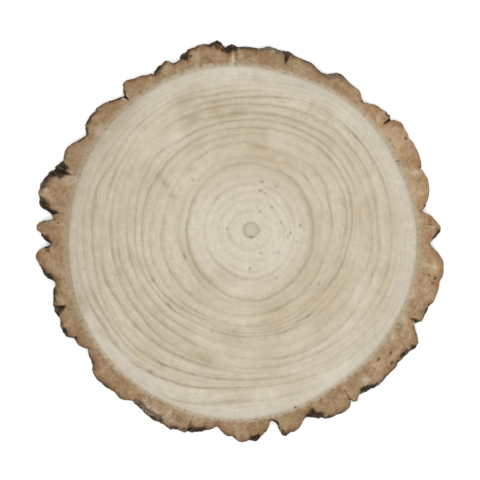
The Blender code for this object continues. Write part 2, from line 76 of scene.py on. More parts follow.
# Each growth ring from the pith outwards, as (degrees, radius, darkness) round it. Its darkness is
# held between 0 and 1 once the ring is rounded.
RINGS = (
    # The pith's rim. Its dark line is partly the rim itself and partly painted shadow in the pith
    # recess, strongest round the lower and left side
    ((0, 7.5, 1.3), (60, 7.6, 0.9), (120, 7.8, 1.0), (170, 7.2, 1.3), (230, 6.6, 1.8), (300, 6.2, 1.8)),
    ((0, 20, 0.2), (90, 20, 0.25), (150, 21.5, 0.3), (172, 23.5, 0.4), (200, 22, 0.6), (225, 20.5, 0.4),
     (300, 19.5, 0.25)),
    ((0, 32.5, 0.35), (20, 31, 0.35), (60, 31, 0.25), (100, 30.5, 0.3), (150, 32.5, 0.3), (180, 32, 0.2),
     (240, 31, 0.25), (300, 31.5, 0.2), (325, 34, 0.3), (350, 33.5, 0.4)),
    ((0, 39, 0.3), (45, 38, 0.2), (75, 40.5, 0.4), (95, 38.5, 0.25), (125, 38.5, 0.3), (155, 39.5, 0.2),
     (205, 39.5, 0.1), (255, 41, 0.35), (275, 42, 0.4), (310, 40.5, 0.15), (340, 39.5, 0.2)),
    ((0, 43.3, 0.3), (25, 43.6, 0.45), (52, 46, 0.35), (90, 47, 0.35), (120, 47.5, 0.45), (135, 47.5, 0.7),
     (150, 46.7, 0.4), (165, 47, 0.4), (190, 47, 0.3), (212, 47.3, 0.5), (222, 46.6, 0.6), (236, 46.6, 0.7),
     (247, 47.6, 0.7), (262, 48.6, 0.8), (272, 48.8, 0.55), (286, 48, 0.6), (305, 46.5, 0.55),
     (322, 45.4, 0.4), (338, 44, 0.3)),
    ((0, 53, 0.3), (30, 52, 0.15), (60, 53.5, 0.2), (100, 55, 0.15), (135, 57, 0.35), (165, 56, 0.15),
     (210, 55, 0.15), (235, 54.6, 0.3), (262, 56, 0.2), (300, 54, 0.15), (330, 51, 0.15)),
    ((0, 61.6, 0.85), (8, 62, 0.85), (20, 63, 1.0), (30, 62.8, 0.8), (40, 64.4, 0.9), (50, 65.5, 1.0),
     (60, 66, 0.8), (72, 65.6, 0.45), (82, 67.2, 0.45), (92, 68, 0.55), (106, 68, 0.65), (120, 67.4, 0.5),
     (135, 67, 0.45), (150, 65.6, 0.75), (160, 65, 0.85), (168, 63.8, 1.0), (180, 65, 1.0),
     (195, 64.6, 1.0), (206, 65, 1.0), (216, 66, 1.0), (228, 65.6, 0.95), (236, 66.6, 0.8),
     (246, 68.2, 0.7), (262, 69.6, 0.65), (275, 70.8, 0.85), (290, 68.6, 0.8), (300, 66.6, 0.65),
     (308, 65.6, 0.85), (320, 64, 0.9), (332, 64, 0.9), (346, 63, 0.8)),
    ((0, 69, 0.25), (20, 74.5, 0.35), (35, 74.5, 0.35), (46, 76.5, 0.55), (56, 77, 0.3), (68, 74, 0.3),
     (82, 73.6, 0.5), (100, 75, 0.2), (122, 74.5, 0.25), (146, 73, 0.25), (165, 72, 0.45), (185, 73, 0.4),
     (200, 71.4, 0.65), (212, 71, 0.6), (222, 71.6, 0.6), (236, 74.4, 0.5), (252, 74.6, 0.4),
     (266, 76, 0.25), (288, 76.4, 0.35), (306, 74.2, 0.25), (330, 70.6, 0.2), (348, 69, 0.2)),
    ((0, 80.5, 0.4), (12, 81.6, 0.7), (22, 83, 0.9), (32, 86.6, 0.6), (45, 88, 0.7), (55, 86.6, 0.25),
     (72, 82.5, 0.45), (84, 84.5, 0.5), (92, 88.4, 0.5), (104, 89.5, 0.7), (118, 90.5, 0.65),
     (132, 89.5, 0.4), (150, 87.6, 0.35), (165, 88, 0.5), (182, 89.2, 0.75), (195, 90.5, 0.5),
     (206, 90.5, 0.8), (222, 89, 0.8), (240, 87.6, 0.6), (258, 86.4, 0.3), (275, 84, 0.35), (285, 83, 0.8),
     (296, 82, 1.0), (304, 81, 0.45), (316, 79.4, 0.5), (334, 77.6, 0.5), (348, 78.4, 0.3)),
    ((0, 94.8, 0.7), (12, 98, 0.75), (20, 98.6, 0.85), (32, 100, 0.35), (50, 97.4, 0.2), (66, 95.6, 0.2),
     (80, 97.5, 0.45), (98, 97.2, 0.4), (114, 98.6, 0.45), (130, 100.5, 0.35), (150, 99, 0.3),
     (168, 99.5, 0.3), (188, 102.8, 0.6), (204, 102.4, 0.45), (226, 99.2, 0.5), (236, 98, 0.75),
     (248, 97, 0.4), (260, 97, 0.5), (284, 95, 0.5), (302, 93, 0.35), (320, 91, 0.45), (334, 90.4, 0.35),
     (347, 92.6, 0.5)),
    ((0, 100.2, 1.0), (12, 103, 0.95), (22, 106, 1.0), (32, 106.6, 0.7), (43, 107.6, 1.0),
     (54, 107.2, 0.55), (64, 106, 0.85), (74, 104.5, 0.8), (86, 103.5, 0.85), (98, 104, 0.6),
     (112, 106, 0.6), (124, 106.6, 0.85), (134, 107.8, 0.95), (148, 108.6, 0.95), (160, 110.4, 0.9),
     (170, 109.8, 0.6), (180, 109.4, 0.9), (192, 110.8, 0.55), (205, 110.2, 1.0), (214, 108.8, 0.95),
     (222, 107, 0.95), (230, 104.2, 0.95), (238, 101.6, 0.95), (247, 100, 0.5), (262, 99.6, 0.3),
     (277, 98.6, 0.3), (290, 98, 0.5), (299, 97.4, 0.75), (306, 95.8, 0.4), (314, 94.6, 0.55),
     (325, 94.6, 1.0), (336, 96, 0.9), (348, 97.8, 0.95)),
    ((0, 104, 0.25), (20, 108.8, 0.2), (45, 110, 0.1), (80, 107, 0.1), (110, 109, 0.15), (140, 112, 0.2),
     (170, 113, 0.25), (200, 113, 0.25), (216, 110.6, 0.3), (232, 105.8, 0.3), (244, 102.8, 0.3),
     (258, 102.4, 0.6), (272, 102.8, 0.55), (288, 102.6, 0.55), (303, 102.6, 0.95), (312, 101.4, 0.4),
     (335, 102, 0.2), (350, 103, 0.45)),
    ((0, 108.6, 0.3), (15, 110.4, 0.3), (24, 111.4, 0.5), (40, 113, 0.65), (52, 112.8, 0.9),
     (64, 112, 0.95), (78, 111, 0.65), (98, 110.8, 0.9), (110, 112, 0.7), (124, 114, 0.85), (131, 115, 1.0),
     (137, 119.6, 0.7), (143, 121.6, 0.6), (150, 119.4, 0.6), (157, 119.6, 0.4), (168, 117, 0.7),
     (180, 115.8, 0.75), (194, 116.4, 0.7), (206, 115, 0.8), (214, 112.8, 0.75), (223, 111.2, 1.0),
     (232, 108.4, 0.5), (246, 106.4, 0.45), (262, 106.4, 0.7), (275, 105.6, 0.45), (290, 106.2, 0.9),
     (300, 105.8, 0.3), (308, 107, 0.5), (322, 107, 0.5), (342, 107.6, 0.3)),
    ((0, 120.6, 0.45), (10, 121, 0.65), (20, 119.4, 0.4), (36, 121, 0.65), (52, 121.4, 0.85),
     (64, 119.6, 0.9), (74, 118.4, 1.0), (88, 117.4, 0.8), (98, 118, 1.0), (106, 119, 0.8),
     (116, 122.4, 0.35), (140, 126.4, 0.1), (156, 126.6, 0.3), (176, 125.2, 0.35), (192, 124, 0.85),
     (204, 122.8, 0.7), (218, 121, 0.75), (231, 118.6, 0.9), (244, 116.4, 0.45), (262, 116, 0.25),
     (282, 118.2, 0.2), (304, 119.8, 0.4), (320, 118.6, 0.65), (338, 119.8, 0.4), (350, 123, 0.7)),
    ((0, 126.6, 0.8), (12, 127, 0.9), (24, 129.8, 0.6), (41, 129.8, 0.7), (52, 130.2, 0.45),
     (64, 129.8, 0.85), (74, 127.6, 0.85), (88, 126.8, 0.8), (100, 127.6, 0.75), (108, 129, 0.9),
     (118, 131.6, 0.95), (126, 133.6, 0.5), (142, 136, 0.1), (160, 135, 0.3), (178, 133.6, 0.4),
     (192, 135, 0.75), (202, 132.4, 0.85), (216, 130.8, 0.65), (230, 127.8, 0.95), (240, 126.6, 0.6),
     (256, 126, 0.35), (272, 129, 0.2), (284, 131.2, 0.75), (300, 132, 1.0), (316, 131, 0.95),
     (328, 130, 0.5), (340, 128.8, 0.75), (350, 130, 0.35)),
    ((0, 141, 0.35), (12, 141, 0.65), (28, 141, 0.9), (46, 141, 0.95), (60, 140.8, 0.5), (68, 140, 0.9),
     (77, 136.8, 1.0), (86, 134.2, 1.0), (97, 133.6, 0.8), (106, 134.4, 0.9), (118, 137.6, 0.45),
     (136, 141, 0.1), (156, 142, 0.25), (172, 141, 0.65), (186, 140.2, 0.95), (197, 139.6, 0.65),
     (206, 140.4, 0.45), (216, 138.4, 0.9), (227, 140.2, 0.9), (238, 138.6, 0.4), (256, 138.4, 0.3),
     (272, 138, 0.5), (284, 138.6, 0.8), (300, 139.4, 1.0), (316, 141, 1.0), (328, 141.2, 0.45),
     (341, 142, 0.75), (352, 141.4, 0.5)),
    ((0, 145.6, 0.2), (40, 146, 0.3), (66, 144, 0.3), (80, 140.6, 0.3), (96, 139.6, 0.6),
     (106, 140.6, 0.65), (118, 146.6, 0.6), (136, 148.4, 0.2), (150, 146.4, 0.5), (159, 148, 0.9),
     (172, 148.2, 0.3), (186, 151.4, 0.35), (198, 154.4, 0.85), (208, 150.4, 0.95), (220, 149.2, 1.0),
     (232, 147, 0.95), (244, 143.4, 1.0), (256, 141.4, 0.5), (274, 143, 0.3), (290, 144.4, 0.5),
     (310, 146.6, 0.3), (341, 148.4, 0.5)),
    ((0, 150, 0.15), (36, 150.4, 0.25), (62, 149, 0.25), (84, 144.6, 0.2), (104, 147, 0.3),
     (124, 152.6, 0.45), (142, 155, 0.4), (155, 154.6, 0.45), (162, 159, 0.85), (168, 160, 1.0),
     (178, 159.2, 0.8), (190, 159, 0.7), (203, 163.4, 0.7), (214, 164.6, 0.5), (226, 164.4, 0.8),
     (236, 160.4, 1.0), (247, 155.2, 1.0), (257, 151.8, 0.9), (268, 149.4, 0.85), (280, 149.6, 0.85),
     (298, 150.4, 0.5), (312, 152.6, 0.4), (332, 156.4, 0.35), (348, 152.6, 0.2)),
    ((0, 154, 0.15), (40, 154.6, 0.25), (60, 154.6, 0.35), (82, 150.4, 0.25), (104, 152, 0.25),
     (126, 158, 0.3), (142, 161, 0.25), (156, 164.8, 0.65), (166, 168, 0.5), (180, 168.6, 0.5),
     (192, 169, 0.5), (202, 170.4, 0.8), (214, 168.8, 0.85), (226, 169.6, 0.45), (236, 166.6, 0.3),
     (247, 160.8, 0.4), (258, 155.8, 0.35), (270, 153, 0.25), (292, 153.4, 0.2), (312, 156.4, 0.2),
     (330, 160, 0.25), (348, 157.6, 0.2)),
    ((0, 157.6, 0.15), (45, 156.6, 0.25), (62, 156.4, 0.3), (86, 154, 0.15), (110, 158, 0.15),
     (130, 164, 0.2), (152, 170, 0.2), (176, 174, 0.2), (198, 178, 0.75), (208, 176.6, 0.95),
     (218, 176.4, 1.0), (228, 177.4, 0.9), (236, 173, 1.0), (246, 168.8, 0.95), (256, 162.2, 0.95),
     (265, 157, 1.0), (274, 155.9, 0.55), (284, 156, 0.55), (300, 159, 0.2), (320, 163.4, 0.4),
     (338, 165, 0.3), (350, 161.6, 0.15)),
    ((0, 161, 0.1), (60, 158.2, 0.15), (100, 161, 0.1), (130, 168, 0.15), (160, 175, 0.1), (190, 181, 0.15),
     (212, 185, 0.1), (234, 187.6, 0.15), (244, 187.6, 0.35), (252, 182.6, 0.6), (261, 173.8, 0.75),
     (270, 170, 0.9), (282, 168.4, 0.45), (300, 168.4, 0.15), (330, 167.6, 0.1)),
)  # fmt: skip

# Marks in the upper face, as (degrees, radius, half length along the ring, half width, darkness).
# The first and the last, at 269 degrees on the pith's rim, are painted shadow in the pith recess
SPECKS_AND_SHADOW = (
    (269, 6.8, 2.2, 1.4, 0.95), (1, 34.6, 1.8, 1.4, 0.65), (288, 14.6, 1.8, 1.4, 0.55),
    (324, 51, 1.8, 1.4, 0.55), (78, 50, 2.4, 1.4, 1), (77.5, 41.3, 2.4, 1.4, 0.85),
    (70, 39.5, 2.2, 1.4, 0.65), (66, 21, 1.8, 1.4, 0.75), (75, 24, 1.8, 1.4, 0.65),
    (60, 51, 1.8, 1.4, 0.75), (5.5, 49.5, 1.8, 1.4, 0.95), (2, 53.5, 1.8, 1.4, 0.55),
    (15, 31, 2.4, 1.4, 0.75), (48.5, 31, 2, 1.4, 0.95), (20, 76, 2.0, 0.9, 0.6), (33.5, 74, 1.6, 0.8, 0.7),
    (43, 76, 1.8, 1.0, 0.8), (66.5, 93.5, 1.5, 1.2, 0.9), (149, 108.5, 2.5, 1.2, 0.5),
    (139, 77, 2.2, 1.4, 0.8), (158.5, 33, 1.8, 1.4, 0.55), (176, 24.5, 2.2, 1.4, 0.75),
    (174.5, 88.8, 1.5, 0.9, 0.6), (129.5, 114.5, 2.0, 1.0, 0.6), (97.5, 118.3, 6.0, 1.6, 0.5),
    (105, 117.5, 3.0, 2.2, 0.4), (107, 126.5, 3.0, 3.0, 0.4), (96.5, 110.3, 2.0, 0.9, 0.6),
    (100.5, 158.5, 1.6, 1.2, 0.5), (25.3, 163, 1.6, 2.2, 0.6), (268, 38, 1.8, 1.4, 0.95),
    (249, 107.8, 1.6, 1.0, 0.8), (260.3, 102.2, 1.8, 1.2, 0.8), (206.5, 110, 4.0, 2.2, 0.7),
    (222.5, 111, 5.0, 1.2, 0.8), (234.5, 173, 3.0, 1.6, 0.8), (236, 160.5, 6.0, 1.3, 0.7),
    (247.5, 155, 4.0, 1.2, 0.7), (254, 153.5, 1.5, 1.0, 0.5), (257, 151.5, 2.0, 1.5, 0.6),
    (265.5, 156.5, 2.5, 1.2, 0.5), (192.8, 172, 1.6, 1.0, 0.8), (196.5, 182.5, 1.5, 0.9, 0.6),
    (201, 71, 4.0, 1.2, 0.8), (201.5, 170.5, 1.5, 0.9, 0.6), (202.3, 164.7, 1.3, 0.9, 0.6),
    (198.4, 142.8, 1.5, 0.9, 0.7), (182.5, 141, 1.5, 0.8, 0.5), (294.5, 24.7, 2.2, 1.4, 0.75),
    (288.5, 106.4, 2.5, 1.0, 0.7), (303.8, 102.5, 2.5, 1.2, 0.9), (316.5, 141, 1.6, 1.1, 0.6),
    (316.5, 131, 2.0, 1.0, 0.6), (340, 128.5, 2.0, 1.3, 0.8), (322, 86, 2.5, 1.6, 0.7),
    (298.5, 53.5, 1.8, 1.4, 0.75), (322, 35.5, 2.4, 1.4, 0.6), (337, 82, 1.5, 1.2, 0.6),
    (346.3, 47, 1.8, 1.4, 0.65), (351, 37, 1.8, 1.4, 0.75), (357.5, 39.3, 2, 1.4, 0.85),
    (1, 87.5, 2.0, 1.0, 0.7), (254.8, 185.5, 1.0, 1.2, 0.8), (264, 185, 0.9, 0.9, 0.7),
    (41.5, 129.5, 1.5, 0.9, 0.6), (52.5, 121.5, 1.6, 1.0, 0.6), (62, 106, 2.0, 0.9, 0.4),
    (78.5, 160, 2.0, 3.0, 0.45), (276.5, 136, 1.2, 1.2, 0.5), (278, 147, 1.2, 1.5, 0.5),
    (332, 132.5, 1.4, 1.0, 0.5), (342.5, 142.5, 2.0, 1.2, 0.4), (249.5, 125.5, 1.6, 1.0, 0.5),
    (233.5, 92, 1.2, 0.8, 0.3), (316.8, 193.3, 2.4, 1.3, 0.9), (318.7, 185.5, 2.5, 1.1, 0.9),
    (314.7, 180.8, 2.6, 1.1, 0.9), (344, 189, 1.5, 1.5, 0.9), (346, 183, 1.4, 1.0, 0.8),
    (2, 179, 1.4, 2.2, 0.8), (284, 182, 1.8, 1.2, 0.9), (271.5, 189, 3.5, 0.9, 0.6),
    (341, 178, 1.0, 1.0, 0.5), (338, 186, 1.0, 1.0, 0.5), (296, 186, 1.4, 0.9, 0.4),
    (168, 191, 1.6, 1.0, 0.5), (170.5, 197, 1.4, 1.2, 0.6), (205, 205, 1.4, 1.0, 0.5),
    (150, 186, 1.8, 1.0, 0.5), (107, 180, 1.6, 1.0, 0.5), (76, 166, 1.2, 0.9, 0.5),
    (37, 172, 1.0, 0.9, 0.4), (12, 172, 1.0, 0.9, 0.4), (225, 200, 1.4, 1.2, 0.5),
    (27, 23.8, 1.8, 1.4, 0.5), (15.6, 26, 2.0, 1.4, 0.5), (8, 33, 2.0, 1.5, 0.45),
    (174, 32.5, 1.8, 1.6, 0.4), (189, 35.4, 1.8, 1.6, 0.4), (213.5, 35.1, 2.0, 1.4, 0.4),
    (118.5, 39.2, 3.0, 1.8, 0.4), (136.5, 46.5, 3.0, 2.0, 0.35), (137.2, 56.2, 3.0, 2.2, 0.35),
    (175, 50.2, 1.6, 1.4, 0.5), (295.3, 35.2, 1.6, 1.4, 0.4), (17, 49.7, 2.4, 1.4, 0.4),
    (88, 31, 2.4, 1.4, 0.3), (107, 46, 2.0, 1.6, 0.3), (223, 23, 2.4, 1.4, 0.35), (269, 6.3, 3.0, 1.2, 0.9),
)  # fmt: skip

# Broad stains, given in the same way, where a negative darkness is a paler patch
STAINS = (
    (250, 136, 20, 10, 0.85), (258, 110, 20, 9, 0.5), (275, 104, 14, 8, 0.2), (210, 132, 14, 10, 0.2),
    (216, 97, 12, 7, 0.25), (29, 118, 14, 10, 0.25), (40, 126, 12, 10, 0.25), (6, 63, 24, 5, 0.5),
    (25, 48, 10, 8, 0.2), (35, 60, 16, 8, 0.25), (148.8, 107, 3, 4.5, 0.6), (151.5, 98, 3, 5.5, 0.85),
    (155.5, 86, 3, 5, 0.6), (165, 102, 10, 6, 0.3), (172, 76, 22, 5, 0.25), (190, 72, 16, 5, 0.2),
    (240, 51, 14, 6, 0.35), (250, 78, 14, 8, 0.2), (100, 119, 14, 5, 0.25), (118, 145, 10, 6, 0.55),
    (108, 137, 8, 5, 0.2), (118.7, 125, 11, 6, 0.75), (106, 123, 6, 9, 0.55), (97.5, 119, 9, 3, 0.6),
    (88, 151, 12, 7, 0.2), (78, 151, 8, 6, 0.2), (256, 162, 10, 7, 0.35), (214, 181, 10, 6, 0.3),
    (249, 184, 10, 6, 0.25), (138, 172, 26, 9, 0.75), (150, 176, 20, 8, 0.45), (165, 178, 34, 9, 0.55),
    (190, 183, 30, 7, 0.4), (203, 184, 12, 7, 0.85), (150, 160, 30, 12, 0.2), (87, 84, 6, 4, 0.5),
    (83, 74, 7, 2, 0.35), (218, 66, 20, 3.5, 0.55), (196, 66, 12, 3, 0.3), (285, 83, 12, 4, 0.25),
    (235, 163, 12, 5, 0.3), (55.5, 136, 1.6, 7, 0.3), (64.5, 138, 2.2, 8, 0.3), (300, 127, 10, 2, 0.5),
    (262, 100, 3, 9, 0.35), (313, 138, 26, 14, -0.4), (292, 142, 22, 14, -0.35), (274, 165, 18, 8, -0.5),
    (331, 124, 20, 10, -0.4), (5, 130, 24, 16, -0.15), (350, 105, 14, 10, -0.3), (72, 96, 14, 10, -0.35),
    (103, 86, 14, 8, -0.2), (131, 118, 14, 10, -0.4), (170, 138, 18, 12, -0.1), (319, 38, 18, 10, -0.3),
    (0, 22, 14, 8, -0.2), (69, 140, 16, 10, -0.35), (50, 146, 12, 8, -0.3), (20, 132, 16, 12, -0.1),
    (300, 166, 20, 6, -0.35), (225, 178, 10, 5, -0.3), (100, 158, 20, 8, -0.25), (20, 154, 30, 5, -0.1),
)  # fmt: skip

# Pale, crumbly places in the cut bark, given in the same way
PALE_MARKS = (
    (348.8, 187.8, 1.3, 1.3, 1.0), (323.3, 177, 3.8, 1.3, 0.9), (307.3, 190, 3.6, 4.6, 0.8),
    (96, 172, 1.4, 6.0, 0.8), (96.8, 169, 1.0, 5.0, 0.5), (118, 184, 5.0, 3.0, 0.3),
    (133.5, 184, 3.0, 3.0, 0.6), (181.5, 200, 3.0, 2.5, 0.15), (241, 206, 14.0, 6.0, 0.55),
    (247.3, 206, 3.0, 4.0, 0.35), (245.8, 201, 2.5, 3.5, 0.6), (238, 203, 3.0, 6.0, 0.6),
    (61, 178, 6.0, 4.0, 0.75), (83.5, 183, 9.0, 3.0, 0.8), (168.7, 209, 2.0, 2.0, 0.45),
    (19.5, 176, 2.0, 5.0, 0.6), (170, 207, 4.0, 3.0, 0.15), (164, 186, 4.0, 8.0, 0.4),
    (330, 177, 3.0, 4.0, 0.4), (147, 182, 4.0, 4.0, 0.4), (338, 174, 5.0, 3.0, 0.35),
    (160, 204, 2.0, 3.0, 0.4), (3.5, 170, 2.0, 3.0, 0.4), (252, 196, 8.0, 3.0, 0.3),
    (20, 172, 4.0, 4.0, 0.3),
)  # fmt: skip

# How far the bark's sawn edge is darkened, as (degrees, share): partly weathering, partly painted shade
# that leaves the right side lighter
WEATHERED_AND_SHADED = (
    (0, 0.15), (30, 0.1), (52, 0.2), (60, 0.6), (75, 0.8), (100, 0.6), (118, 0.7), (130, 0.9), (152, 1.0),
    (160, 0.6), (172, 0.5), (190, 0.55), (225, 0.7), (250, 0.7), (265, 0.6), (300, 0.5), (330, 0.45),
    (346, 0.2),
)  # fmt: skip

# Cracks, chips and dark rims in the bark round the upper face, given in the same way as the upper
# face's marks. Their darkness is partly the bark's own and partly painted shade in the cracks and
# on the broken edges
BARK_MARKS_AND_SHADE = (
    (121.3, 184.5, 2.2, 1.5, 1.0), (119.3, 187, 4.5, 1.6, 0.9), (117.2, 188.5, 2.5, 1.0, 0.7),
    (114.5, 184, 3.0, 1.2, 0.9), (111.3, 186, 3.5, 3.0, 1.0), (109.3, 190, 2.5, 1.8, 1.0),
    (107, 191.3, 3.5, 1.4, 0.9), (102.8, 190.3, 3.5, 2.2, 0.9), (100.3, 188, 3.2, 4.0, 1.0),
    (98.7, 183.5, 3.0, 3.0, 1.0), (97.3, 181.5, 4.5, 2.2, 1.0), (95.5, 183, 3.0, 2.2, 0.9),
    (93.3, 182.6, 3.0, 1.2, 0.7), (90.5, 182, 5.0, 1.0, 0.5), (87.8, 181.8, 3.0, 0.8, 0.5),
    (85.6, 184.5, 2.0, 0.9, 0.6), (79.2, 181, 3.0, 2.2, 1.0), (78.4, 176, 2.5, 4.8, 1.0),
    (77, 182, 3.5, 1.3, 0.8), (74.8, 180, 3.5, 1.0, 0.7), (71, 177.5, 5.0, 0.8, 0.5),
    (94.9, 175, 0.8, 4.5, 0.6), (94.5, 177, 1.8, 0.8, 0.6), (95.6, 168, 0.8, 2.5, 0.7),
    (133.3, 184, 1.1, 4.5, 1.0), (134.8, 187, 2.8, 1.1, 0.9), (147, 197.3, 4.0, 1.4, 0.9),
    (145.3, 197, 3.0, 2.0, 1.0), (149.4, 190.5, 2.6, 1.1, 0.8), (148.2, 193.2, 2.0, 1.1, 0.8),
    (141.3, 197.3, 4.0, 0.9, 0.8), (138.2, 194.3, 4.0, 1.0, 0.7), (136.3, 190.5, 3.5, 1.0, 0.8),
    (163.2, 198.5, 6.5, 4.0, 1.0), (162.8, 192, 1.4, 4.0, 1.0), (164.3, 206, 3.0, 5.0, 0.6),
    (173, 207.5, 3.6, 5.0, 0.9), (174.6, 198, 1.8, 3.5, 1.0), (177.7, 193, 1.5, 1.8, 0.7),
    (182.2, 204, 5.0, 1.4, 0.9), (184.7, 204.5, 1.6, 2.6, 1.0), (184, 202.5, 3.0, 1.1, 0.9),
    (192.7, 207, 3.0, 3.6, 1.0), (190.4, 211.3, 4.5, 1.2, 0.7), (197.3, 205.5, 3.0, 1.6, 0.9),
    (199.5, 207.8, 4.0, 1.1, 0.8), (198.5, 199, 3.0, 0.7, 0.6), (196, 201, 2.0, 0.9, 0.6),
    (188.5, 191.5, 2.5, 0.9, 0.6), (202.3, 206.5, 3.2, 5.8, 1.0), (208.5, 211.6, 3.5, 2.2, 1.0),
    (206, 211, 4.0, 1.0, 0.7), (203.5, 211, 3.0, 1.2, 0.7), (211.3, 206.3, 1.6, 2.2, 0.9),
    (220, 207, 3.5, 1.3, 0.9), (218.3, 204.5, 3.0, 1.0, 0.7), (221.7, 209, 2.5, 1.0, 0.7),
    (227.2, 212.6, 3.5, 1.1, 0.8), (224.5, 213, 4.0, 0.9, 0.5), (229, 208, 3.0, 0.8, 0.4),
    (237.3, 206, 1.4, 4.0, 0.5), (236.5, 202, 1.0, 3.0, 0.4), (242.5, 210.5, 3.5, 1.2, 0.9),
    (244.6, 210, 2.0, 1.6, 0.8), (249, 210.3, 5.0, 1.6, 0.6), (251.3, 209, 3.0, 1.4, 0.8),
    (253, 206, 2.2, 3.0, 0.8), (252.4, 202, 0.8, 4.0, 0.8), (255.6, 205, 3.5, 1.6, 0.9),
    (254, 207, 3.0, 1.1, 0.8), (249.5, 199.8, 7.0, 0.6, 0.6), (258, 202, 3.0, 0.8, 0.5),
    (263, 206, 2.0, 0.9, 0.6), (265.6, 207, 2.0, 1.0, 0.6), (270.8, 207.5, 3.0, 2.2, 1.0),
    (272.2, 205, 2.2, 1.3, 0.8), (273.6, 200.5, 3.0, 0.8, 0.6), (270.8, 195.5, 3.0, 0.7, 0.6),
    (279, 204.5, 1.8, 3.4, 0.9), (277.9, 196, 1.2, 4.0, 0.8), (276.5, 191.3, 3.0, 0.8, 0.8),
    (290.6, 196.5, 4.5, 3.0, 0.9), (289, 191, 2.0, 3.4, 1.0), (287.5, 193, 3.5, 1.6, 0.9),
    (292.6, 201.3, 4.0, 1.4, 0.8), (296, 202.5, 6.0, 0.8, 0.5), (300.2, 193, 0.8, 4.5, 0.8),
    (300.4, 185.5, 1.2, 1.2, 0.7), (305.3, 193.5, 4.5, 1.7, 1.0), (309, 198, 5.0, 1.4, 0.9),
    (307, 196, 4.0, 1.6, 0.9), (312, 199, 4.0, 0.9, 0.7), (320.5, 195.5, 4.0, 2.0, 0.9),
    (318.3, 196, 2.5, 1.1, 0.7), (324.3, 198.5, 2.5, 2.0, 0.8), (322.5, 196, 2.0, 1.1, 0.7),
    (331.6, 188, 1.3, 5.0, 0.8), (331.2, 184, 1.1, 3.0, 0.9), (335.5, 192, 5.0, 1.1, 0.7),
    (337.4, 192.5, 2.0, 1.2, 0.8), (343.5, 175.5, 1.6, 1.3, 0.5), (335, 181.5, 2.0, 0.8, 0.6),
    (334.3, 178, 2.0, 0.8, 0.5), (333, 184, 1.6, 0.8, 0.5), (343, 187, 3.0, 1.3, 0.5),
    (345.5, 190, 2.5, 1.5, 0.7), (347, 182.5, 3.2, 1.0, 0.7), (358.8, 186, 4.0, 1.2, 0.9),
    (3, 179.3, 3.0, 1.2, 0.6), (0.5, 186.5, 2.0, 2.0, 0.5), (6.8, 172.3, 1.3, 1.3, 1.0),
    (8.3, 175, 2.8, 0.9, 0.7), (20.3, 180.5, 1.6, 1.3, 0.9), (30.7, 180, 1.6, 1.4, 0.8),
    (26, 182.5, 8.0, 0.8, 0.4), (38.8, 174, 1.3, 4.5, 1.0), (40.4, 178.6, 3.2, 1.1, 0.8),
    (38.6, 178.5, 1.8, 1.2, 1.0), (40, 174, 1.6, 1.0, 0.7), (49, 170.6, 1.6, 1.0, 0.9),
    (42.5, 177.3, 2.0, 0.8, 0.6), (143, 184, 2.0, 0.8, 0.4), (155, 196, 1.0, 0.8, 0.4),
    (214, 200, 1.4, 1.0, 0.5), (231, 190.5, 1.2, 0.9, 0.5), (297, 179, 2.5, 0.8, 0.5),
    (293, 178, 2.0, 0.9, 0.5), (303.5, 176, 2.4, 0.8, 0.5), (185.6, 204.3, 2.6, 2.4, 0.8),
    (109.3, 184.6, 2.5, 1.6, 1.0), (341.3, 188.5, 4.0, 2.5, 0.35), (312.5, 196.5, 4.0, 3.0, 0.35),
    (30.4, 173.5, 2.5, 2.5, 0.3), (181.2, 203.0, 3.0, 1.6, 0.5), (319.3, 192.0, 2.0, 1.5, 0.4),
)  # fmt: skip

# How wide and how olive the joining band of wood and bark is, as (degrees, share)
JOINING = (
    (0, 0.6), (12, 0.5), (20, 0.5), (50, 0.35), (75, 0.35), (90, 0.5), (105, 0.3), (120, 0.35), (135, 0.65),
    (150, 0.9), (195, 1.0), (207, 0.8), (215, 0.25), (235, 0.1), (270, 0.25), (285, 0.2), (300, 0.3),
    (315, 0.45), (345, 0.6), (355, 0.7),
)  # fmt: skip

# Broken edges whose surface is fresh and pale, as (from degrees, to degrees, paleness)
PALE_LIPS = (
    (57, 65.5, 0.9), (74, 79, 0.6), (80, 88, 0.85), (87, 93, 0.4), (99, 105, 0.45), (223, 229, 0.5),
    (233, 246, 0.75), (288, 299, 0.35), (302, 310, 0.5), (319, 324, 0.45), (332, 338, 0.4), (39, 43, 0.4),
    (245, 251, 0.3),
)  # fmt: skip

# Places where the bark bulges past its broken upper edge, as (degrees, half width, millimetres)
LEDGES = (
    (38.9, 1.0, 1.2), (78.5, 1.0, 1.2), (97.8, 1.1, 1.2), (173.4, 1.3, 1.0), (193.3, 1.6, 1.6),
    (202.3, 1.1, 2.2), (244.0, 2.0, 1.0), (252.9, 1.6, 1.0), (271.0, 1.3, 1.2), (279.3, 0.8, 1.2),
    (288.8, 1.5, 1.2), (305.6, 1.8, 1.6), (321.6, 1.5, 1.6), (324.2, 1.0, 0.8),
)  # fmt: skip

# Places where the whole edge of the bark is a little hollower, given in the same way
HOLLOWS = (
    (5.3, 1.5, 0.7), (56.0, 3.0, 0.5), (62.0, 3.0, 0.5), (114.9, 1.0, 0.8), (117.6, 1.6, 0.9),
    (126.5, 3.5, 0.8), (153.4, 2.2, 0.9), (176.8, 1.0, 1.4), (184.0, 0.8, 1.1), (216.1, 1.2, 0.8),
    (330.7, 1.0, 0.7),
)  # fmt: skip

# The mesh: columns round the bark, rows up its side, rows across the cut bark of the upper and the
# lower face, and the millimetres between rows across the wood of each
COLUMNS = 1040
SIDE_ROWS = 29
CUT_ROWS = 14
LOWER_CUT_ROWS = 5
ROW_MM = 1.25
LOWER_ROW_MM = 5.0
HALVINGS = (1.0, 0.56, 0.2)  # shares of the wood's radius inside which the columns are halved
MARK_SPREAD = 1.3  # marks that would fall between two rows are drawn wider by this

